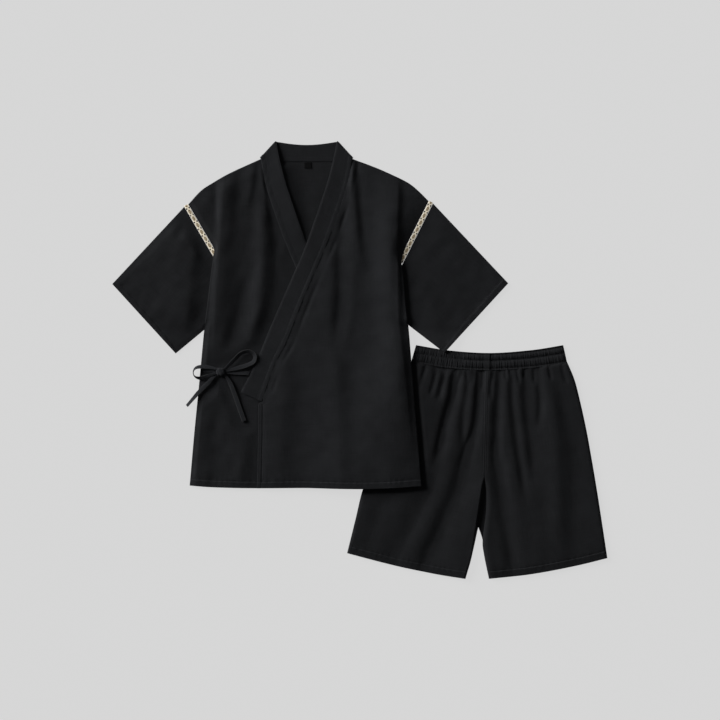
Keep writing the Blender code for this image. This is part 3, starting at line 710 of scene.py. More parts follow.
for label, cuff, armhole, turn, angle in (("left", LEFT_CUFF, LEFT_ARMHOLE, 1, 42.0),
                                          ("right", RIGHT_CUFF, RIGHT_ARMHOLE, -1, -42.0)):
    seam = armhole_edge(armhole, turn)
    seam_length = line_length(armhole)
    high_across = stations(seam_length, step=3.5)
    low_across = stations(seam_length, step=8.0)
    sleeve_up = stations(SLEEVE_LENGTH, step=3.4, fine_at=(SLEEVE_LENGTH - CUFF_DEPTH,))
    creases = SLEEVE_CREASES[label]

    def sleeve_rise(plan, across, along):
        """The sleeve's folds, fading towards its edges, and its cuff's turned-in bulk and stitched line."""
        from_fold = np.minimum(across, 1 - across)[None, :] * seam_length
        from_seam = along[:, None] * SLEEVE_LENGTH
        from_cuff = SLEEVE_LENGTH - from_seam
        loose = smooth((from_fold + 2) / 26) * smooth((from_seam - 4) / 34)
        uneven = unevenness(plan, seed=11, wavelength=46.0, height=0.30)
        soft = settled(relief(plan, creases) + uneven + 0.9) * loose
        pucker = SLEEVE_PUCKER * np.sin(np.arange(len(across)) * 0.61)[None, :]
        cuff_line = groove(from_cuff, CUFF_DEPTH)
        turned_in = HEM_BULK * turnings(from_cuff, CUFF_DEPTH, CUFF_STEP) - CUFF_PULL * cuff_line
        lip = CUFF_LIP * (1 - rounded(from_cuff, 1.5))
        return soft + pucker * groove(from_cuff, CUFF_DEPTH, half_width=5.0) + turned_in - lip

    sleeve_edges = (seam, cuff, (seam[0], cuff[0]), (seam[-1], cuff[1]))
    rings = flat_tube(sleeve_edges, low_across, high_across, sleeve_up,
                      lambda plan: LIFT * lifted(plan), sleeve_rise, CLOTH)
    sleeve = make_tube(f"sleeve_{label}_cloth", rings, turned_grain(rings[0], angle), COTTON)
    sleeve_top = rings[0][::-1, len(low_across):]
    stitches = make_stitches(f"sleeve_{label}_stitches", [line_at(sleeve_top, CUFF_DEPTH)])
    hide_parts(f"sleeve_{label}")

# ---- The jacket's fronts ---------------------------------------------------------------------------
# The wearer's right front lies on the back, and the left lies over it. Each is one panel with a hemmed
# lower edge; the left's free edge is turned in too. Beside each sleeve the front is folded over it and
# turns under towards the armhole.

OVER_SEAM = ((-16, 447), (-27, 388), (-52, 311), (-79, 240), (-122, 140), (-160, 43), (-187, -10),
             (-216, -93))
OVER_EDGE = ((-51, 485), (-60, 440), (-78, 375), (-122, 249), (-147, 191), (-197, 76), (-230, -4),
             (-264, -71))
FRONT_EDGE = ((-228, -285), (-226, -190), (-225, -98))
FRONT_EDGE_DEPTH = 9.0
OVERLAP_AIR = 2.5
LEFT_FOLD = ((103, 122), (97, 189), (93, 222))
RIGHT_FOLD = ((-340, 111), (-332, 178), (-326, 228))
SEAM_ROLL = 15.0
LOFT = 3.4
FAR = 99.0
LIP_ROUND = {"left": 3.0, "right": 1.7}
LIP_DEPTH = 20.0
BAND_RAMP = {"left": 58.0, "right": 38.0}
BAND_SHARE = {"left": 0.52, "right": 0.6}
BAND_EASE = 18.0
TOP_SHARE = 0.82
TOP_FROM = {"left": 360.0, "right": 335.0}
TOP_RAMP = 40.0
TOP_EASE = 9.0
SIDE_FALL = 38.0
PUCKER = 0.22
TROUGH_PLACE = 16.0
TROUGH_WIDTH = 4.6
TROUGH_DEPTH = 1.2
FRONT_EDGE_TOP = -92.0
FRONT_EDGE_BULK = 0.6
FRONT_EDGE_PULL = 0.45
FRONT_LENGTH = 778.0
FRONT_WIDTH = 385.0
LEFT_CREASES = (
    (((74, 500), (83, 400), (81, 300), (82, 222), (84, 95), (93, 11), (105, -100), (115, -237)), 10, 38, 5.5),
    (((66, 366), (64, 240), (66, 118)), 19, 25, 2.3),
    (((-30, 500), (-18, 406), (-13, 344), (-4, 244), (11, 180)), 13, 20, 3.4),
    (((-26, 400), (-38, 300), (-45, 233), (-44, 144), (-51, 70), (-56, 0)), 16, 9, -1.6),
    (((-14, 250), (-14, 195), (-16, 122), (-24, 67), (-38, 0)), 12, 11, 0.8),
    (((-58, 60), (-54, -60), (-48, -180), (-50, -330)), 26, 46, 4.0),
    (((-168, 60), (-170, -80), (-182, -200), (-180, -330)), 26, 40, 2.5),
    (((-68, 270), (-66, 190), (-68, 120), (-74, 40)), 15, 30, 2.0),
    (((96, 250), (98, 189), (102, 122), (109, 60), (118, -40)), 30, 18, 4.4),
    (((28, 430), (31, 400), (34, 350)), 15, 13, -0.7),
    (((-9, 500), (-5, 412), (-1, 360), (4, 300), (9, 240)), 10, 8, -1.4),
    (((72, 60), (70, -80), (80, -200), (78, -330)), 30, 44, 1.0))
RIGHT_CREASES = (
    (((-293, 520), (-300, 400), (-304, 320), (-311, 215), (-318, 130), (-320, 44), (-323, -10)), 32, 13, 5.6),
    (((-202, 500), (-206, 440), (-209, 400), (-212, 354)), 12, 13, 2.2),
    (((-214, 404), (-214, 370), (-214, 306), (-215, 215), (-219, 160), (-226, 110), (-240, 50), (-254, 0)),
     18, 17, 4.9),
    (((-231, 470), (-238, 417), (-242, 382), (-255, 330)), 9, 12, 2.2),
    (((-266, 470), (-269, 400), (-273, 340), (-276, 280)), 14, 12, -1.2),
    (((-248, 210), (-256, 160), (-264, 122), (-279, 67), (-296, 10)), 21, 15, -2.2),
    (((-200, 420), (-192, 300), (-184, 230), (-186, 170), (-192, 110)), 16, 10, -1.1),
    (((-248, -110), (-248, -200), (-258, -330)), 16, 28, 1.2),
    (((-313, -70), (-318, -200), (-326, -330)), 32, 18, -1.5),
    (((-321, 440), (-320, 384), (-318, 330), (-318, 270)), 5, 9, -1.2))
BOW_LINES = (((-385, -30), (-308, -26), (-238, 12)), ((-308, -30), (-280, -74), (-256, -137)),
             ((-316, -32), (-345, -62), (-372, -92)))
BOW_REACH = (9.0, 26.0)


def front_side(side, fold, armhole, turn):
    """A front's outer edge, from the hem: side seam, fold over the sleeve, then along the tape to the tip."""
    taped = shifted(curve(armhole, (0.0, 0.13, 0.26, 0.36)), turn * armhole_gap(0.0))
    return (*side, *fold, *taped[::-1])


def bow_press(plan):
    """1 where the bow's loops and tails lie on the right front and press it flat, down to 0 beside them."""
    near = np.full(plan.shape[:-1], np.inf)
    for line in BOW_LINES:
        places = curve(line, np.linspace(0.0, 1.0, 24))
        near = np.minimum(near, np.linalg.norm(plan[..., None, :] - places, axis=-1).min(-1))
    return 1 - smooth((near - BOW_REACH[0]) / BOW_REACH[1])


def lipped(face, lip_share, fold, radius, thickness):
    """A front's face carried on round its folded side edge, under it, and back in towards the armhole.

    The turn is a half circle, square to the fold's line, and its share falls to nothing where the edge
    is a seam. Thickness draws the inner face's turn in, so that the two keep their distance.
    """
    run = np.subtract(fold[-1], fold[0])
    inward = np.array((-run[1], run[0], 0.0)) / np.hypot(*run)
    if (face[0, 0] - face[0, -1]) @ inward < 0:
        inward = -inward
    inward = np.broadcast_to(inward, (len(face), 3))
    from_edge = np.linalg.norm(face[..., :2] - face[:, -1:, :2], axis=-1)
    drawn_in = radius * lip_share[:, None] * smooth(1 - from_edge / 12)
    face = face + inward[:, None] * drawn_in[..., None]
    edge = face[:, -1]
    radius = (radius - thickness) * lip_share[:, None]
    down = np.array((0.0, 0.0, -1.0))
    columns = []
    for angle in np.linspace(0, np.pi, 8)[1:]:
        columns.append(edge - inward * radius * np.sin(angle) + down * radius * (1 - np.cos(angle)))
    turned_under = columns[-1]
    for run in (0.3, 0.65, 1.0):
        columns.append(turned_under + inward * run * LIP_DEPTH * lip_share[:, None])
    return np.concatenate((face, np.stack(columns, axis=1)), axis=1)


def make_front(label, plan, base, shows, seed, front_depth):
    """One front: its creases over its base, its hem's bulk and lines, its rolled seams and its lip.

    shows is 1 where the front shows and 0 where it lies flat under the other one. front_depth is how far
    the free front edge is turned in, or 0 where it isn't.
    """
    table = LEFT_CREASES if label == "left" else RIGHT_CREASES
    from_left, from_right, from_low, from_high = edge_distances(plan)
    from_side, from_front = (from_right, from_left) if label == "left" else (from_left, from_right)
    side_y = plan[:, -1 if label == "left" else 0, 1]
    lip_share = smooth((side_y - 70) / 22) * smooth((238 - side_y) / 26)
    at_seam = (1 - lip_share)[:, None]
    side_roll = smooth((from_side + 1) / SEAM_ROLL)
    if label == "left":
        side_roll = rounded(from_side, 2.5) * (1 - 0.75 * (1 - np.clip(from_side / SIDE_FALL, 0, 1)) ** 2)
    calm = side_roll * at_seam + 1 - at_seam
    calm = calm * (0.5 * rounded(from_high, 2.5) + 0.5 * smooth((from_high + 1.5) / 30))
    free = 1 - 0.7 * bow_press(plan) if label == "right" else 1.0
    near_top = smooth((plan[..., 1] - TOP_FROM[label]) / TOP_RAMP)
    share = BAND_SHARE[label] + (TOP_SHARE - BAND_SHARE[label]) * near_top
    loft = LOFT * (share + (1 - share) * smooth((from_front - 1) / BAND_RAMP[label]))
    beside_band = smooth((from_front - 1 + 2 * near_top) / (BAND_EASE + (TOP_EASE - BAND_EASE) * near_top))
    uneven = unevenness(plan, seed, wavelength=52.0, height=0.34)
    soft = shows * settled(free * (loft + relief(plan, table) * beside_band) + uneven)
    soft = soft * (0.55 + 0.45 * smooth((from_low + 4) / 34))
    puckers = PUCKER * np.sin(plan[..., 0] * 0.42 + 1.7 * np.sin(plan[..., 0] * 0.083))
    height = base + soft * calm + puckers * groove(from_low, HEM_DEPTH, half_width=6.0)
    if label == "left":
        # The cloth is drawn down beside the band, here more and there less.
        drawn = 0.62 + 0.38 * np.sin(plan[..., 1] * 0.061 + 1.4 * np.sin(plan[..., 1] * 0.023))
        trough = TROUGH_DEPTH * drawn * groove(from_front, TROUGH_PLACE, TROUGH_WIDTH)
        height = height - trough * smooth((plan[..., 1] + 80) / 20)
    drop = 0.25 * at_seam * (1 - smooth(from_side / SEAM_ROLL))
    bulk = HEM_BULK * turnings(from_low, HEM_DEPTH)
    pulled = HEM_PULL * groove(from_low, HEM_DEPTH)
    if front_depth:
        free_edge = smooth((FRONT_EDGE_TOP - plan[:, 0, 1]) / 8)[:, None]
        bulk = np.maximum(bulk, FRONT_EDGE_BULK * free_edge * turnings(from_front, front_depth))
        pulled = np.maximum(pulled, FRONT_EDGE_PULL * free_edge * groove(from_front, front_depth))
    half = 0.5 * (CLOTH + bulk)
    cut_side = from_side + FAR * lip_share[:, None]
    full = edge_fullness(np.minimum.reduce((from_low, from_high, from_front, cut_side)))
    middle = height - drop + half
    outer = np.dstack((plan, middle + half * full - pulled))
    inner = np.dstack((plan, middle - half * full))
    if label == "right":
        outer, inner = outer[:, ::-1], inner[:, ::-1]
    fold, turn = (LEFT_FOLD if label == "left" else RIGHT_FOLD), LIP_ROUND[label]
    outer, inner = lipped(outer, lip_share, fold, turn, 0.0), lipped(inner, lip_share, fold, turn, CLOTH)
    piece = make_shell(f"jacket_front_{label}_cloth", outer, inner, turned_grain(outer, 0.0), COTTON)
    hem_line = line_at(outer, HEM_DEPTH)[4:-12]
    lines = [hem_line[hem_line[:, 0] < FRONT_EDGE[0][0] + 8] if label == "right" else hem_line]
    if front_depth:
        rows = plan[:, 0, 1] < -100
        lines.append(line_at(outer[rows].transpose(1, 0, 2), front_depth)[4:])
    stitches = make_stitches(f"jacket_front_{label}_stitches", lines)
    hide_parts(f"jacket_front_{label}")
    return piece, outer, stitches


def comes_up(distance, share, near, far):
    """How far the right front stands up beyond what lies on it: a quick share first, then the rest."""
    return share * smooth((distance + near) / near) + (1 - share) * smooth(distance / far)


front_up = stations(FRONT_LENGTH, step=4.1, fine_at=(HEM_DEPTH,))
left_table = chained((FRONT_EDGE, np.linspace(0, 1, 30)), ((FRONT_EDGE[-1], OVER_SEAM[-1]), (0.0, 1.0)),
                     (OVER_SEAM[::-1], np.linspace(0.0, 1.0, 90)))
left_edge = shifted(curve(left_table, front_up), CAUGHT_IN * smooth((front_up * FRONT_LENGTH - 195) / 20))
left_side = curve(front_side(LEFT_SIDE, LEFT_FOLD, LEFT_ARMHOLE, -1), front_up)
left_across = stations(FRONT_WIDTH, 3.1, (FRONT_EDGE_DEPTH,), dense=((300.0, FRONT_WIDTH, 1.7),))
left_top = (left_edge[-1], *LEFT_SHOULDER[1:-1], left_side[-1])
left_plan = panel((FRONT_EDGE[0], *HEM[3:]), left_top, left_edge, left_side, left_across, front_up)
over_right_front = smooth((1 - left_across)[None, :] / 0.2) * smooth((1 - front_up)[:, None] / 0.12)
left_base = LAYER + OVERLAP_AIR * over_right_front + layer_climb(left_plan, layers=2)

right_edge = left_edge * (-1, 1) + (2 * COLLAR_CENTRE_X, 0)
right_side = curve(front_side(RIGHT_SIDE, RIGHT_FOLD, RIGHT_ARMHOLE, 1), front_up)
right_bottom = (*HEM[:2], (-228, -285), (COLLAR_CENTRE_X, -284.5), right_edge[0])
right_top = (right_side[-1], *RIGHT_SHOULDER[-2:0:-1], right_edge[-1])
right_across = stations(FRONT_WIDTH, 3.1, dense=((0.0, 75.0, 1.8),))
right_plan = panel(right_bottom, right_top, right_side, right_edge, right_across, front_up)
right_base = LAYER + layer_climb(right_plan, layers=1)

band_run = np.subtract(OVER_EDGE[-1], OVER_EDGE[2])
to_band = (right_plan - OVER_EDGE[3]) @ np.array((band_run[1], -band_run[0])) / np.linalg.norm(band_run)
beside_band_end = smooth((right_plan[..., 1] + 105) / 30)
beyond_band = comes_up(to_band, share=0.4, near=14, far=45)
to_front_edge = FRONT_EDGE[0][0] - right_plan[..., 0] + 600 * (right_plan[..., 1] > -90)
beyond_edge = comes_up(to_front_edge, share=0.35, near=10, far=42)
right_shows = (beyond_band * beside_band_end + 1 - beside_band_end) * beyond_edge
jacket_front_right, _, right_stitches = make_front("right", right_plan, right_base, right_shows,
                                                   seed=5, front_depth=0.0)
jacket_front_left, left_face, left_stitches = make_front("left", left_plan, left_base, shows=1.0,
                                                         seed=8, front_depth=FRONT_EDGE_DEPTH)

# ---- The collar and the label ----------------------------------------------------------------------
# The collar is one straight band of cotton, folded double, sewn to the left front's edge, round the back
# of the neck and down the right front. Its free edge and its seam are stitched down; the seam's turnings
# show as a low ridge. A bare woven label is caught under its seam at the back.

DOUBLED_CLOTH = 2.0
BAND_MIDDLE_TOP_Y = 478.0
COLLAR_TURN = 1.9
TURNINGS = 10.0
TURNINGS_BULK = 0.5
EDGE_STITCH = 2.4
EDGE_CURL = 0.6
SEAM_PULL = 0.4
EDGE_PULL = 0.3
COLLAR_PUCKER = 0.14
BAND_WIDTH = 44.0
STITCH_CLEARANCE = 0.46
LABEL_CENTRE = (-115.5, 433.2)
LABEL_SIZE = (16.0, 13.6)
LABEL_DARK = (0.0012, 0.0012, 0.0014, 1.0)
LABEL_PALE = (0.0024, 0.0024, 0.0027, 1.0)
BAR_PLACES = (-223.6, -221.6, -219.6, -217.6)
BAR_ENDS = (-103.0, -92.5)
# The collar's cotton is a paler copy of the same cloth: painted light for the light that its tilted band
# catches.
PAINTED_LIT_COLLAR_COTTON = black_cotton("black_collar_cloth_painted_lit", 1.12)

# The height of the band's seam, and the rise from its seam to its free edge, by the share of its length.
TURN_TOP = 0.5 * DOUBLED_CLOTH + 2 * COLLAR_TURN
OVER_SEAM_HEIGHT = ((0, TURN_TOP), (0.12, TURN_TOP), (0.3, 5.7), (0.5, 5.9), (0.7, 6.0), (1, 5.6))
OVER_EDGE_RISE = ((0, 0), (0.12, 1.8), (0.4, 1.6), (0.54, -0.2), (1, -0.4))
UNDER_SEAM_HEIGHT = ((0, TURN_TOP), (0.12, TURN_TOP), (0.2, 4.0), (0.34, 4.0), (0.43, 3.5), (0.52, 2.6),
                     (1, 2.6))
UNDER_EDGE_RISE = ((0, 0), (0.03, 1.8), (0.07, 4.2), (0.14, 5.2), (0.28, 4.9), (0.34, 3.3), (0.386, 1.3),
                   (0.43, 0.5), (0.5, 0), (1, 0))


def collar_rulings(seam, edge, seam_height, edge_rise, fractions):
    """Straight lines across the collar, from its seam to its free edge, at the seam's height and its rise."""
    height = np.interp(fractions, *np.transpose(seam_height))
    rise = np.interp(fractions, *np.transpose(edge_rise))
    return np.stack((np.column_stack((curve(seam, fractions), height)),
                     np.column_stack((curve(edge, fractions), height + rise))), axis=1)


def collar_turn(seam_end, edge_end, outward):
    """The collar turning under at the shoulder: the same line carried round a half circle."""
    line = np.array((seam_end, edge_end), float)
    run = (line[1] - line[0]) / np.linalg.norm(line[1] - line[0])
    push = outward * np.array((-run[1], run[0]))
    lines = []
    for angle in np.linspace(0, np.pi, 11):
        flat = line + COLLAR_TURN * np.sin(angle) * push
        height = 0.5 * DOUBLED_CLOTH + COLLAR_TURN * (1 + np.cos(angle))
        lines.append(np.column_stack((flat, (height, height))))
    return np.array(lines)


def above_table(line):
    """A line of stitches, kept clear of the table where the band turns under."""
    return np.column_stack((line[:, :2], np.maximum(line[:, 2], STITCH_CLEARANCE)))


over_seam = [tuple(point) for point in shifted(np.asarray(OVER_SEAM, float), -SEAM_GAP)]
under_seam, under_edge = mirrored(over_seam), mirrored(OVER_EDGE)
down_front = stations(640.0, step=4.2)
over = collar_rulings(over_seam, OVER_EDGE, OVER_SEAM_HEIGHT, OVER_EDGE_RISE, 1 - down_front)
under = collar_rulings(under_seam, under_edge, UNDER_SEAM_HEIGHT, UNDER_EDGE_RISE, down_front)
left_turn = collar_turn(over_seam[0], OVER_EDGE[0], -1)
right_turn = collar_turn(under_seam[0], under_edge[0], 1)
round_neck = np.linspace(0.0, 1.0, 42)[1:-1, None]
seam_line = over_seam[0] + round_neck * np.subtract(under_seam[0], over_seam[0])
edge_line = OVER_EDGE[0] + round_neck * np.subtract(under_edge[0], OVER_EDGE[0])
dip = np.sin(np.pi * round_neck[:, 0])
seam_line[:, 1] -= (over_seam[0][1] - BACK_NECK_Y) * np.minimum(1, 2.2 * dip)
edge_line[:, 1] -= (OVER_EDGE[0][1] - BAND_MIDDLE_TOP_Y) * dip
low = np.full(len(round_neck), 0.5 * DOUBLED_CLOTH)
neck = np.stack((np.column_stack((seam_line, low)), np.column_stack((edge_line, low))), axis=1)
lines = np.concatenate((over[:-1], left_turn, neck, right_turn[::-1], under[1:]))
middle = lines.mean(axis=1)
half_across = 0.5 * (lines[:, 1] - lines[:, 0])
half_width = np.linalg.norm(half_across, axis=1)
out = unit(np.cross(np.gradient(middle, axis=0), half_across))
run = run_along(middle)
across = stations(BAND_WIDTH, step=2.4, fine_at=(EDGE_STITCH, BAND_WIDTH - TURNINGS))
from_edge = 2 * half_width[:, None] * (1 - across)[None, :]
from_seam = 2 * half_width[:, None] * across[None, :]
full = np.minimum(0.1 + 0.9 * rounded(from_edge, 2.2), 0.55 + 0.45 * rounded(from_seam, 1.6))
edge_curl = EDGE_CURL * (1 - rounded(from_edge, 5.5)) * smooth((lines[:, :1, 2] - 1.5) / 1.5)
pucker = COLLAR_PUCKER * (np.sin(run * 0.37) + np.sin(run * 0.23 + 1.3))[:, None]
turned = turnings(from_seam, TURNINGS, step=1.4) * smooth((from_seam - 0.4) / 1.4)
turned = turned * smooth((lines[:, :1, 2] - 1.2) / 2.0)
lines_pulled = SEAM_PULL * groove(from_seam, TURNINGS, 0.9) + EDGE_PULL * groove(from_edge, EDGE_STITCH, 0.8)
outward = 0.5 * DOUBLED_CLOTH * full + (TURNINGS_BULK + pucker) * turned - lines_pulled - edge_curl
inward = -0.5 * DOUBLED_CLOTH * full + 0.5 * lines_pulled - edge_curl
place = lines[:, :1] + (lines[:, 1:] - lines[:, :1]) * across[None, :, None]
band_outer = place + out[:, None] * outward[..., None]
band_inner = place + out[:, None] * inward[..., None]
band_grain = np.dstack((from_seam, np.broadcast_to(run[:, None], from_seam.shape)))
collar = make_shell("collar_cloth", band_outer, band_inner, band_grain, PAINTED_LIT_COLLAR_COTTON)
seam_side = band_outer.transpose(1, 0, 2)
edge_side = seam_side[::-1]
inner_side = band_inner.transpose(1, 0, 2)
neck_rows = slice(len(over) + 6, len(over) + len(neck) + 14)
over_front = left_face.reshape(-1, 3)
bar_lines = []
for bar_x in BAR_PLACES:
    bar = np.column_stack((np.linspace(bar_x, bar_x + 3.5, 5), np.linspace(*BAR_ENDS, 5)))
    nearest = ((bar[:, None] - over_front[None, :, :2]) ** 2).sum(-1).argmin(1)
    bar_lines.append(np.column_stack((bar, over_front[nearest, 2] + 0.15)))
collar_stitches = make_stitches("collar_stitches", [
    above_table(line_at(edge_side, EDGE_STITCH)[2:]), above_table(line_at(seam_side, TURNINGS)[2:]),
    line_at(inner_side[::-1], EDGE_STITCH)[neck_rows], line_at(inner_side, TURNINGS)[neck_rows], *bar_lines])
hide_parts("collar")

label_finish = Finish("black_label", Specular_IOR_Level=0.06)
label_place = label_finish.node("ShaderNodeUVMap", {"uv_map": "grain"})
label_weave, label_slub = woven(label_finish, label_place, pitch=0.0003)
label_colour = label_finish.mix(label_slub, LABEL_DARK, LABEL_PALE)
label_cloth = label_finish.finish(label_colour, 0.55 + 0.1 * label_slub, label_weave, depth=0.00005)
label_x, label_y = (centre + size * (stations(size, step=1.5) - 0.5)
                    for centre, size in zip(LABEL_CENTRE, LABEL_SIZE))
label_plan = np.stack(np.meshgrid(label_x, label_y), axis=-1)
label_curl = 0.5 * smooth((LABEL_CENTRE[1] - label_plan[..., 1]) / 9) ** 2
neck_label, label_face = cloth_sheet("neck_label_cloth", label_plan, LAYER + label_curl, bulk=-0.5, angle=0.0,
                                     finish=label_cloth)
label_stitches = make_stitches("neck_label_stitches", [line_at(label_face[::-1], 1.6)[2:-2]],
                               pitch=1.7, length=1.3)
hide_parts("neck_label")

# ---- The armhole tapes -----------------------------------------------------------------------------
# A woven cream tape with a chain of brown ovals is let into each armhole: up the front, over the
# shoulder's fold and down the back.

TAPE_THICKNESS = 1.1
TAPE_POINTS = 56
RIB_PITCH = 0.9
OVAL_PITCH = 17.3
OVAL_START = 4.4
OVAL_HALF_LENGTH = 5.3
OVAL_HALF_WIDTH = 2.7
DOT_OFFSET = 3.2
DOT_RADIUS = 1.6
HEART = 0.42
CREAM = (0.84, 0.77, 0.62, 1.0)
CREAM_SHADED = (0.68, 0.60, 0.46, 1.0)
RIB_SHADE = (0.42, 0.35, 0.24, 1.0)
TAN = (0.44, 0.35, 0.22, 1.0)
OLIVE = (0.25, 0.19, 0.11, 1.0)
BROWN = (0.018, 0.014, 0.012, 1.0)


def woven_tape():
    """The tape's finish: ovals with a darker rim down the middle, and a dark dot at each side between them.

    The map runs along the tape in u and across it in v, in metres. An oval's value is the length of its
    point over its two half axes, so 1 is its rim.
    """
    finish = Finish("woven_cream_tape", Specular_IOR_Level=0.3)
    place = finish.node("ShaderNodeUVMap", {"uv_map": "grain"})
    along, aside = (finish.node("ShaderNodeSeparateXYZ", None, {0: place}, axis) * 1000.0 for axis in (0, 1))
    threads = finish.noise(place, scale=1900.0)
    rough_edge = (threads - 0.5) * 0.8

    def from_centre(shift, middle, half_length, half_width):
        """How far a point is from the nearest mark, in the mark's half axes."""
        run = finish.node("ShaderNodeMath", {"operation": "PINGPONG"},
                          {0: along + shift, 1: 0.5 * OVAL_PITCH})
        across = (aside - middle) / half_width
        return (run / half_length) * (run / half_length) + across * across

    def inside(size, mark, sharpness):
        """1 inside a size of a mark and 0 outside it, over an edge of one over its sharpness."""
        return ((size - mark) * sharpness + 0.5).clamped()

    oval = from_centre(OVAL_START, 0.0, OVAL_HALF_LENGTH, OVAL_HALF_WIDTH) + rough_edge
    in_oval = inside(1.0, oval, 4.0)
    in_heart = inside(HEART, oval, 4.0)
    dots = [from_centre(OVAL_START + 0.5 * OVAL_PITCH, side, DOT_RADIUS * 1.25, DOT_RADIUS) + rough_edge
            for side in (-DOT_OFFSET, DOT_OFFSET)]
    in_dot = (inside(1.0, dots[0], 3.0) + inside(1.0, dots[1], 3.0)).clamped()
    ribs = (along * (2 * np.pi / RIB_PITCH)).sine()
    ground = finish.mix(threads, CREAM_SHADED, CREAM)
    ground = finish.mix((ribs * 0.12 + 0.12).clamped(), ground, RIB_SHADE)
    rim = finish.mix(threads, BROWN, OLIVE)
    colour = finish.mix(in_oval, ground, rim)
    colour = finish.mix(in_heart * 0.85, colour, finish.mix(threads, OLIVE, TAN))
    colour = finish.mix(in_dot, colour, BROWN)
    height = ribs * 0.4 + threads + in_oval * 0.5
    return finish.finish(colour, 0.82 - 0.1 * threads, height, depth=0.0002)


TAPE = woven_tape()

for label, armhole in (("left", LEFT_ARMHOLE), ("right", RIGHT_ARMHOLE)):
    line = curve(armhole, np.linspace(0.0, TAPED_LENGTH / line_length(armhole), TAPE_POINTS))
    beyond = line[0] - 0.8 * (line[1] - line[0]) / np.linalg.norm(line[1] - line[0])
    front = np.column_stack((line[::-1], np.full(TAPE_POINTS, LAYER + 0.8)))
    back = np.column_stack((line, np.full(TAPE_POINTS, 0.5 * CLOTH)))
    turn = [(*beyond, LAYER + 0.55), (*beyond, 0.5 * LAYER + 0.6), (*beyond, 0.75 * CLOTH)]
    middle = np.vstack((front, turn, back))
    side = np.column_stack((shifted(line, 0.5 * TAPE_WIDTH) - line, np.zeros(TAPE_POINTS)))
    side = np.vstack((side[::-1], np.repeat(side[:1], len(turn), axis=0), side))
    half_across = unit(side) * 0.5 * TAPE_WIDTH
    out = unit(np.cross(np.gradient(middle, axis=0), half_across))
    out *= 1.0 if out[0, 2] > 0 else -1.0
    share = 2 * stations(TAPE_WIDTH, step=1.0) - 1
    full = 0.2 + 0.8 * rounded((1 - np.abs(share)) * 0.5 * TAPE_WIDTH, 0.7)
    rise = out[:, None] * (0.5 * TAPE_THICKNESS * full[None, :, None])
    place = middle[:, None] + half_across[:, None] * share[None, :, None]
    grain = np.dstack((np.broadcast_to(run_along(middle)[:, None], place.shape[:2]),
                       np.broadcast_to(0.5 * TAPE_WIDTH * share[None, :], place.shape[:2])))
    tape = make_shell(f"armhole_tape_{label}_cloth", place + rise, place - rise, grain, TAPE)
    tape_face = (place + rise)[:TAPE_POINTS].transpose(1, 0, 2)
    tape_stitches = make_stitches(f"armhole_tape_{label}_stitches",
                                  [line_at(tape_face, 0.8), line_at(tape_face[::-1], 0.8)],
                                  pitch=2.8, length=2.0, width=0.4)
    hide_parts(f"armhole_tape_{label}")

# ---- The ties and the bow --------------------------------------------------------------------------
# Two flat ties of folded and stitched cotton, one from the collar's edge and one from the side seam, are
# tied in a bow. Each runs into the knot, out into a loop, back through the knot and out as a tail.

TIE_WIDTH = 9.0
TIE_THICKNESS = 1.7
TIE_STEPS = 190
TIE_ROUND = 28
KNOT_ROWS = 34
KNOT_ROUND = 64
KNOT_POLE = 0.05
KNOT_CENTRE = (-308.7, -26.2, 9.0)
KNOT_SIZE = (19.5, 18.5, 8.4)

# A row is a place on a tie's middle line, in metres, its width there, in the knot's hold or free, and the
# angle it tilts by, in degrees.
TIE_FRONT_ROUTE = (
    (-0.2442, -0.0308, 0.0050, 9.0, 8), (-0.2510, -0.0292, 0.0056, 9.0, 12),
    (-0.2640, -0.0290, 0.0060, 8.5, 16), (-0.2810, -0.0288, 0.0066, 7.0, 16),
    (-0.2984, -0.0280, 0.0074, 4.5, 14), (-0.3080, -0.0275, 0.0086, 3.6, 10),
    (-0.3105, -0.0238, 0.0094, 3.6, 10), (-0.3070, -0.0205, 0.0100, 3.8, 14),
    (-0.2984, -0.0190, 0.0100, 5.0, 16), (-0.2800, -0.0010, 0.0094, 8.2, 20),
    (-0.2630, 0.0150, 0.0088, 8.8, 30), (-0.2450, 0.0190, 0.0084, 9.0, 34),
    (-0.2330, 0.0110, 0.0080, 9.0, 30), (-0.2350, -0.0030, 0.0077, 9.0, 20),
    (-0.2510, -0.0120, 0.0077, 9.0, 14), (-0.2740, -0.0185, 0.0080, 8.6, 10),
    (-0.2984, -0.0248, 0.0084, 4.5, 10), (-0.3080, -0.0270, 0.0078, 3.8, 8),
    (-0.3190, -0.0325, 0.0074, 5.0, 5), (-0.3360, -0.0500, 0.0074, 8.6, 4),
    (-0.3560, -0.0700, 0.0066, 9.0, 10), (-0.3700, -0.0858, 0.0055, 9.0, 34),
    (-0.3840, -0.1020, 0.0046, 9.0, 46))
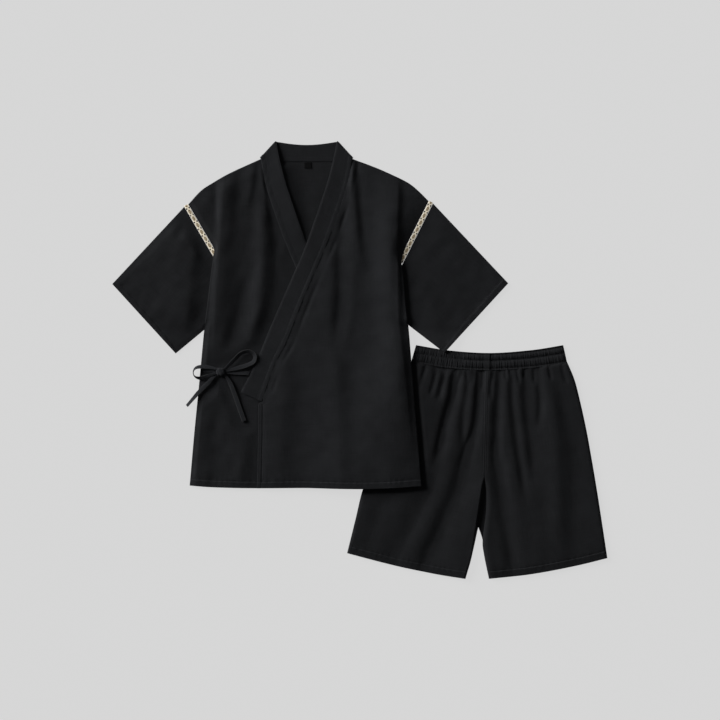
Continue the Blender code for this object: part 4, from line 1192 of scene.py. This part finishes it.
TIE_SIDE_ROUTE = (
    (-0.3530, -0.0220, 0.0039, 9.0, 5), (-0.3430, -0.0235, 0.0046, 9.0, 10),
    (-0.3300, -0.0252, 0.0062, 7.5, 16), (-0.3190, -0.0260, 0.0076, 4.5, 16),
    (-0.3100, -0.0256, 0.0086, 3.6, 10), (-0.3064, -0.0228, 0.0094, 3.6, 10),
    (-0.3100, -0.0200, 0.0100, 3.8, 14), (-0.3190, -0.0192, 0.0098, 5.0, 14),
    (-0.3370, -0.0158, 0.0092, 8.0, 14), (-0.3540, -0.0150, 0.0086, 8.6, 24),
    (-0.3650, -0.0185, 0.0080, 8.6, 56), (-0.3695, -0.0270, 0.0078, 8.6, 80),
    (-0.3660, -0.0365, 0.0076, 8.6, 72), (-0.3540, -0.0402, 0.0076, 8.6, 32),
    (-0.3360, -0.0350, 0.0082, 8.0, 14), (-0.3190, -0.0300, 0.0094, 4.5, 12),
    (-0.3090, -0.0308, 0.0090, 3.8, 10), (-0.3030, -0.0310, 0.0084, 4.0, 8),
    (-0.2984, -0.0345, 0.0076, 5.5, 5), (-0.2880, -0.0500, 0.0072, 9.0, 4),
    (-0.2800, -0.0700, 0.0068, 9.6, 4), (-0.2720, -0.0920, 0.0065, 9.8, 2),
    (-0.2640, -0.1150, 0.0060, 9.8, 0), (-0.2560, -0.1370, 0.0056, 9.8, 0))
TIE_COTTON = black_cotton("black_tie_cloth", 1.6, 0.5 * TIE_WIDTH * 0.001)


def flat_tie(name, rows):
    """A flat tie along its route: a round-edged section, wide along a line that tilts about the route.

    A point of the section is half the width times a power of an angle's cosine, and half the thickness
    times the root of its sine, with their signs. A shallow dent follows the stitches beside one edge. The
    caps at the ends stop one point short of the two folded edges.
    """
    table = np.array(rows) * (1000.0, 1000.0, 1000.0, 1.0, 1.0)
    fine = curve(table, np.linspace(0.0, 1.0, TIE_STEPS))
    middle, width, tilt = fine[:, :3], fine[:, 3], np.radians(fine[:, 4])
    along = unit(np.gradient(middle, axis=0))
    level = unit(np.cross((0.0, 0.0, 1.0), along))
    upright = np.cross(along, level)
    wide = level * np.cos(tilt)[:, None] + upright * np.sin(tilt)[:, None]
    thin = np.cross(along, wide)
    angle = np.linspace(0, 2 * np.pi, TIE_ROUND, endpoint=False)
    flat_cosine = np.sign(np.cos(angle)) * np.abs(np.cos(angle)) ** 0.62
    flat_sine = np.sign(np.sin(angle)) * np.abs(np.sin(angle)) ** 0.5
    bow_out = 1 + 0.35 * (1 - width[:, None] / TIE_WIDTH).clip(0, 1)
    dent = 0.22 * groove(flat_cosine[None, :] * 0.5 * width[:, None], 0.5 * width[:, None] - 1.6, 0.5)
    half_width = 0.5 * width[:, None] * flat_cosine[None, :]
    half_height = 0.5 * TIE_THICKNESS * bow_out * flat_sine[None, :] - np.sign(flat_sine)[None, :] * dent
    ring = middle[:, None] + (half_width[..., None] * wide[:, None] + half_height[..., None] * thin[:, None])
    cap = np.array([(k, k + 1, TIE_ROUND - k - 1, TIE_ROUND - k) for k in range(1, TIE_ROUND // 2 - 1)])
    faces = np.vstack((quads(TIE_STEPS, TIE_ROUND, wrap=True), cap[:, ::-1],
                       cap + (TIE_STEPS - 1) * TIE_ROUND))
    grain = np.dstack((half_width + 0.3 * flat_sine[None, :],
                       np.broadcast_to(run_along(middle)[:, None], ring.shape[:2])))
    tie = make_mesh(name, ring.reshape(-1, 3), faces, TIE_COTTON, grain.reshape(-1, 2))
    return tie, middle * 0.001


def knot_face(theta, phi):
    """The knot: a flattened ball, squared off, with two sunk lines where one wrap lies beside the next.

    Its point is its half size times the signed powers of the sines and cosines of its two angles.
    """
    def squared(value, power):
        return np.sign(value) * np.abs(value) ** power
    ball = np.stack((squared(np.cos(phi), 0.62) * squared(np.cos(theta), 0.7),
                     squared(np.cos(phi), 0.62) * squared(np.sin(theta), 0.7),
                     squared(np.sin(phi), 0.75)), axis=-1)
    lean = ball[..., 0] + 0.35 * ball[..., 1]
    wraps = 1 - 0.10 * np.exp(-((lean - 0.38) / 0.10) ** 2) - 0.13 * np.exp(-((lean + 0.52) / 0.09) ** 2)
    pinch = 1 - 0.10 * ball[..., :1] ** 2
    narrowed = np.concatenate((np.ones_like(pinch), pinch, pinch), axis=-1)
    return np.array(KNOT_CENTRE) + 0.5 * np.array(KNOT_SIZE) * ball * wraps[..., None] * narrowed


tie_front, tie_front_path = flat_tie("tie_front_cloth", TIE_FRONT_ROUTE)
tie_side, tie_side_path = flat_tie("tie_side_cloth", TIE_SIDE_ROUTE)
knot_theta, knot_phi = np.meshgrid(np.linspace(-np.pi, np.pi, KNOT_ROUND, endpoint=False),
                                   np.linspace(-0.5 * np.pi + KNOT_POLE, 0.5 * np.pi - KNOT_POLE, KNOT_ROWS))
knot_ring = knot_face(knot_theta, knot_phi)
knot_cap = np.array([(k, k + 1, KNOT_ROUND - k - 2, KNOT_ROUND - k - 1) for k in range(KNOT_ROUND // 2 - 1)])
knot_faces = np.vstack((quads(KNOT_ROWS, KNOT_ROUND, wrap=True), knot_cap[:, ::-1],
                        knot_cap + (KNOT_ROWS - 1) * KNOT_ROUND))
bow_knot = make_mesh("bow_knot_cloth", knot_ring.reshape(-1, 3), knot_faces, TIE_COTTON,
                     ((knot_ring - KNOT_CENTRE)[..., :2] * (0.4, 1.0)).reshape(-1, 2))
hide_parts("tie_front", "bow_loop_left", "bow_tail_right")
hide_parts("tie_side", "bow_loop_right", "bow_tail_left")
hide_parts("bow_knot")

# ---- The shorts' legs ------------------------------------------------------------------------------
# Each leg is a front and a back of the same cotton, seamed at the side, the inside and up the middle.
# The fronts are gathered into the waistband, so folds run down from it, and each hem is turned up twice.

WAIST_TOP = ((125, 33), (200, 21), (290, 15.5), (382, 22), (452, 33))
WAIST_SEAM = ((114, -4.5), (197, -17.5), (284, -22.5), (380, -17.5), (461, -6.5))
WAIST_CENTRE = 0.486
CROTCH_FRONT = (277, -257)
CROTCH_BACK = (263.5, -371)
RIGHT_LEG_SIDE = ((114, -5), (101, -30), (79, -77), (54, -148), (31, -219), (6, -290), (-9, -352), (-28, -429))
LEFT_LEG_SIDE = ((461, -7), (476, -41), (486, -77), (502, -148), (515, -219), (527, -290), (538, -361),
                 (550, -440))
RIGHT_LEG_INSIDE = ((268, -317), (261, -363), (250, -432), (235, -486))
LEFT_LEG_INSIDE = ((281, -300), (280, -340), (273, -400), (276, -432), (287, -486))
RIGHT_LEG_HEM = ((-28, -429), (17, -441), (84, -458), (171, -476), (235, -486))
LEFT_LEG_HEM = ((550, -440), (476, -458), (379, -476), (287, -486))
LEG_HEM_DEPTH = 16.0
LEG_LENGTH = 480.0
JACKET_EDGES = (((108, 76), (137, -280)), ((137, -280), (-33, -286)))
PRESS_RAMP = 20.0
CROTCH_LINE = 4.0
CROTCH_PULL = 0.35
PUFF = 5.6
PUFF_LEFT = 0.85
EDGE_ROUND = {"right": 4.5, "left": 12.0}
EDGE_ROLL = {"right": 1.8, "left": 0.4}

# The wearer's right leg's folds, then the left's: the troughs between the gathers, from the waist down,
# and the long ridges and troughs below them.
LEG_CREASES = (
    (((216, 30), (211, -27), (208, -56), (205, -84), (197, -111), (187, -149), (178, -193), (160, -250)),
     16, 10, -5.9),
    (((266, 40), (265, -33), (263, -78), (261, -111), (257, -144), (249, -173), (238, -206), (222, -262)),
     15, 9, -5.0),
    (((252, -140), (229, -244), (216, -289), (200, -329), (186, -366), (168, -402), (152, -435), (130, -520)),
     33, 18, -4.8),
    (((243, 12), (242, -38), (237, -80), (231, -115), (229, -155), (228, -212)), 9, 9, -2.7),
    (((190, 12), (188, -33), (181, -62), (172, -98)), 8, 8, -3.5),
    (((170, 12), (169, -27), (163, -55), (154, -88)), 7, 6, -2.4),
    (((181, -200), (162, -277), (142, -317), (124, -355), (106, -388), (88, -422), (68, -500)), 16, 28, -2.6),
    (((257, -250), (253, -295), (240, -366), (224, -433), (211, -520)), 12, 24, 1.1),
    (((226, 10), (227, -29), (217, -54), (212, -92)), 6, 5, -1.5),
    (((254, 10), (253, -28), (249, -62)), 4, 7, -1.3),
    (((275, 12), (273, -34), (271, -76)), 6, 4, -2.0),
    (((76, -280), (52, -320), (33, -370), (11, -440)), 18, 18, -1.2),
    (((150, 12), (146, -16), (138, -40), (128, -70)), 6, 5, -2.2),
    (((311, 40), (310, -33), (309, -67), (307, -100), (305, -133), (304, -178), (301, -255)), 12, 11, -4.6),
    (((337, 40), (338, -31), (339, -93), (345, -147), (351, -200), (360, -253), (371, -335)), 10, 9, -3.1),
    (((368, 40), (369, -36), (370, -93), (376, -147), (382, -191), (392, -300)), 22, 12, -3.8),
    (((398, 30), (397, -36), (400, -71), (401, -107), (396, -165)), 10, 8, -2.7),
    (((422, 40), (434, -36), (441, -71), (451, -102), (461, -138), (470, -182), (474, -226), (476, -311),
      (475, -389), (471, -520)), 20, 18, -1.8),
    (((300, -150), (304, -226), (314, -306), (322, -360), (335, -426), (345, -520)), 20, 14, -3.3),
    (((406, 10), (418, -44), (427, -93), (433, -147), (436, -204), (438, -271), (442, -337), (442, -400),
      (441, -470)), 18, 21, 2.5),
    (((296, 10), (295, -31), (291, -56), (291, -96)), 6, 5, -2.2),
    (((322, 12), (323, -22), (326, -50)), 4, 4, -1.6),
    (((333, 14), (332, -14), (334, -36)), 4, 3, -1.5),
    (((347, 12), (349, -20), (356, -58)), 4, 5, -2.0),
    (((365, 14), (365, -16), (366, -46)), 4, 3, -1.4),
    (((387, 12), (387, -20), (388, -60)), 5, 5, -1.9),
    (((419, 14), (420, -18), (426, -50)), 5, 4, -1.8),
    (((215, 14), (214, -16), (211, -42)), 4, 3, -1.8),
    (((236, 14), (236, -20), (238, -50)), 4, 4, -1.4),
    (((447, 12), (451, -24), (462, -58)), 6, 5, -1.4),
    (((490, -150), (500, -280), (512, -430)), 25, 17, -0.8),
    (((314, -200), (321, -270), (337, -345)), 10, 19, -1.4))


def pressed(plan):
    """1 where the jacket lies on the shorts and presses their gathers flat, from its own edges inward."""
    body = right_of(plan, JACKET_EDGES[0], PRESS_RAMP) * right_of(plan, JACKET_EDGES[1], PRESS_RAMP)
    tip = np.linalg.norm(plan - np.array(LEFT_CUFF[1]), axis=-1)
    return np.maximum(body, 1 - smooth((tip - 30) / 25))


def leg_panel(sign, side, rows, hem, waist, across, up):
    """The plan of one leg's front or back, from the hem up, with its seam edge chained from its rows."""
    seam = curve(chained(*rows), up)
    outer = curve((*side[:0:-1], waist[0 if sign < 0 else -1]), up)
    if sign < 0:
        return panel(hem, waist, outer, seam, across, up)
    return panel(hem[::-1], waist, seam, outer, across, up)


SHORTS_COTTON = black_cotton("black_shorts_cloth", 0.86)
fine_rows = np.linspace(0, 1, 60)
for label, sign, side, inside, hem, span, angle in (
        ("right", -1, RIGHT_LEG_SIDE, RIGHT_LEG_INSIDE, RIGHT_LEG_HEM, (0.0, WAIST_CENTRE), -14.0),
        ("left", 1, LEFT_LEG_SIDE, LEFT_LEG_INSIDE, LEFT_LEG_HEM, (WAIST_CENTRE, 1.0), 9.0)):
    shift = np.array((0.5 * sign * SEAM_GAP, 0.0))
    waist = curve(WAIST_SEAM, np.linspace(*span, 30)) + (0, CAUGHT_IN)
    centre = waist[-1 if sign < 0 else 0]
    leg_up = stations(LEG_LENGTH, step=3.2, fine_at=(LEG_HEM_DEPTH,))
    leg_across = stations(180.0, step=1.5)

    front_seam = np.array((CROTCH_FRONT, centre)) + shift
    rows = ((inside[::-1] + (CROTCH_FRONT,), fine_rows), (front_seam, fine_rows))
    plan = leg_panel(sign, side, rows, hem, waist, leg_across, leg_up)
    from_left, from_right, from_low, from_high = edge_distances(plan)
    from_side, from_middle = (from_left, from_right) if sign < 0 else (from_right, from_left)
    below = np.linalg.norm(plan - plan[-1:], axis=-1) - CAUGHT_IN
    puff = PUFF * (0.42 + 0.58 * rounded(below + 1, 7.0)) * (1 - (1 - PUFF_LEFT) * smooth((below - 30) / 150))
    uneven = unevenness(plan, seed=17, wavelength=48.0, height=0.30) * smooth(below / 60)
    gathers = relief(plan, LEG_CREASES) * (0.7 + 0.3 * smooth((below + 1) / 7))
    soft = settled(puff + gathers + uneven, give=0.35)
    soft = soft * (0.6 + 0.4 * smooth((from_low + 4) / 30))
    below_crotch = smooth((CROTCH_FRONT[1] - plan[..., 1]) / 26)
    at_side = rounded(from_side + 1, 9.0)
    roll = EDGE_ROLL[label] * np.exp(-(from_middle / 16) ** 2) * below_crotch
    at_middle = 1 + (rounded(from_middle, EDGE_ROUND[label]) - 1) * below_crotch
    puckers = PUCKER * np.sin(from_left * 0.44 + 1.6 * np.sin(from_left * 0.09))
    puckers = puckers * groove(from_low, LEG_HEM_DEPTH, half_width=6.0)
    above_crotch = smooth((plan[..., 1] - CROTCH_FRONT[1] - 4) / 10)
    pulled = (HEM_PULL * groove(from_low, LEG_HEM_DEPTH)
              + CROTCH_PULL * groove(from_middle, CROTCH_LINE, half_width=0.9) * above_crotch)
    half = 0.5 * (CLOTH + HEM_BULK * turnings(from_low, LEG_HEM_DEPTH))
    full = edge_fullness(np.minimum.reduce((from_low, from_side, from_middle)))
    lie = (soft + roll) * at_middle * at_side * (1 - pressed(plan))
    middle = LAYER + lie + puckers * (1 - pressed(plan)) + half
    outer = np.dstack((plan, middle + half * full - pulled))
    inner = np.dstack((plan, middle - half * full))
    front = make_shell(f"shorts_front_{label}_cloth", outer, inner, turned_grain(plan, angle), SHORTS_COTTON)
    hem_line = line_at(outer, LEG_HEM_DEPTH)[3:-3]
    beside_seam = (outer if sign > 0 else outer[:, ::-1]).transpose(1, 0, 2)
    seam_line = line_at(beside_seam, CROTCH_LINE)
    seam_line = seam_line[seam_line[:, 1] > CROTCH_FRONT[1] + 2]
    stitches = make_stitches(f"shorts_front_{label}_stitches", [hem_line, seam_line])
    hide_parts(f"shorts_front_{label}")

    back_seam = np.array((CROTCH_BACK, (271, -250), centre)) - 2 * shift
    rows = ((inside[:1:-1] + (CROTCH_BACK,), fine_rows), (back_seam, fine_rows))
    plan = leg_panel(sign, side, rows, hem, waist, stations(260.0, step=6.0),
                     stations(LEG_LENGTH, step=6.0, fine_at=(LEG_HEM_DEPTH,)))
    underside = np.full(plan.shape[:2], 0.1 * (1 + sign))
    back, _ = cloth_sheet(f"shorts_back_{label}_cloth", plan, underside, bulk=0.0, angle=angle,
                          finish=SHORTS_COTTON)
    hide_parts(f"shorts_back_{label}")

# ---- The waistband ---------------------------------------------------------------------------------
# The waistband is a ring of doubled cotton over a wide elastic, stitched through in three rows, so it
# stands in short upright ripples between the rows.

BAND_CLOTH = 2.2
BAND_HEIGHT = 37.5
BAND_ROWS = (3.0, 20.5, 34.0)
BAND_PUFF = 1.7
BAND_LENGTH = 347.0
JOIN_WIDTH = 11.0


def waistband_rise(plan, across, along):
    """The band's front: puffed between its rows of stitches, in uneven upright ripples, flat at its join.

    The ripples are sine waves along the band whose steps swell and shrink, two added together.
    """
    up = along[:, None] * BAND_HEIGHT
    place = across * BAND_LENGTH
    channel = (up > BAND_ROWS[1]) * 1.0
    fine = (0.6 * np.sin(2 * np.pi * place / 4.3 + 2.1 * np.sin(place * 0.113 + channel) + 1.9 * channel)
            + 0.5 * np.sin(2 * np.pi * place / 6.7 + 1.9 * np.sin(place * 0.067 + 2 * channel) + 0.8))
    broad = np.sin(2 * np.pi * place / 23.0 + 2.6 * np.sin(place * 0.031) + 0.4 + channel)
    lean = np.sin(2 * np.pi * place / 11.0 + up * 0.2)
    drawn = sum(groove(up, row, 3.4) for row in BAND_ROWS).clip(0, 1)
    from_join = np.abs(across - WAIST_CENTRE) * BAND_LENGTH
    free = smooth((from_join - 0.5 * JOIN_WIDTH) / 3.0)
    waves = (0.42 * fine + 0.2 * broad + 0.2 * lean) * (1 - 0.5 * drawn) * free
    from_join_left = (across - WAIST_CENTRE) * BAND_LENGTH + 0.5 * JOIN_WIDTH
    at_join = 1 - smooth((from_join - 0.5 * JOIN_WIDTH) / 1.2)
    join = (0.5 + 1.1 * np.clip(from_join_left / JOIN_WIDTH, 0, 1)) * at_join
    edge = smooth(np.minimum(across, 1 - across) / 0.02)
    puffed = BAND_PUFF * (1 - drawn) * (0.75 + 0.25 * free)
    return ((puffed + join + 0.6) * (1 - 0.6 * pressed(plan)) + waves) * edge


band_high = stations(BAND_LENGTH, step=0.9)
band_low = stations(BAND_LENGTH, step=7.0)
band_up = stations(BAND_HEIGHT, step=1.9, fine_at=BAND_ROWS)
band_edges = (WAIST_SEAM, WAIST_TOP, (WAIST_SEAM[0], WAIST_TOP[0]), (WAIST_SEAM[-1], WAIST_TOP[-1]))
band_rings = flat_tube(band_edges, band_low, band_high, band_up,
                       lambda plan: np.zeros(plan.shape[:2]), waistband_rise, BAND_CLOTH)
waistband = make_tube("waistband_cloth", band_rings, turned_grain(band_rings[0], 0.0), SHORTS_COTTON)
band_front = band_rings[0][:, len(band_low):]
waistband_stitches = make_stitches("waistband_stitches", [line_at(band_front, row) for row in BAND_ROWS],
                                   pitch=2.6, length=2.0)
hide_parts("waistband")
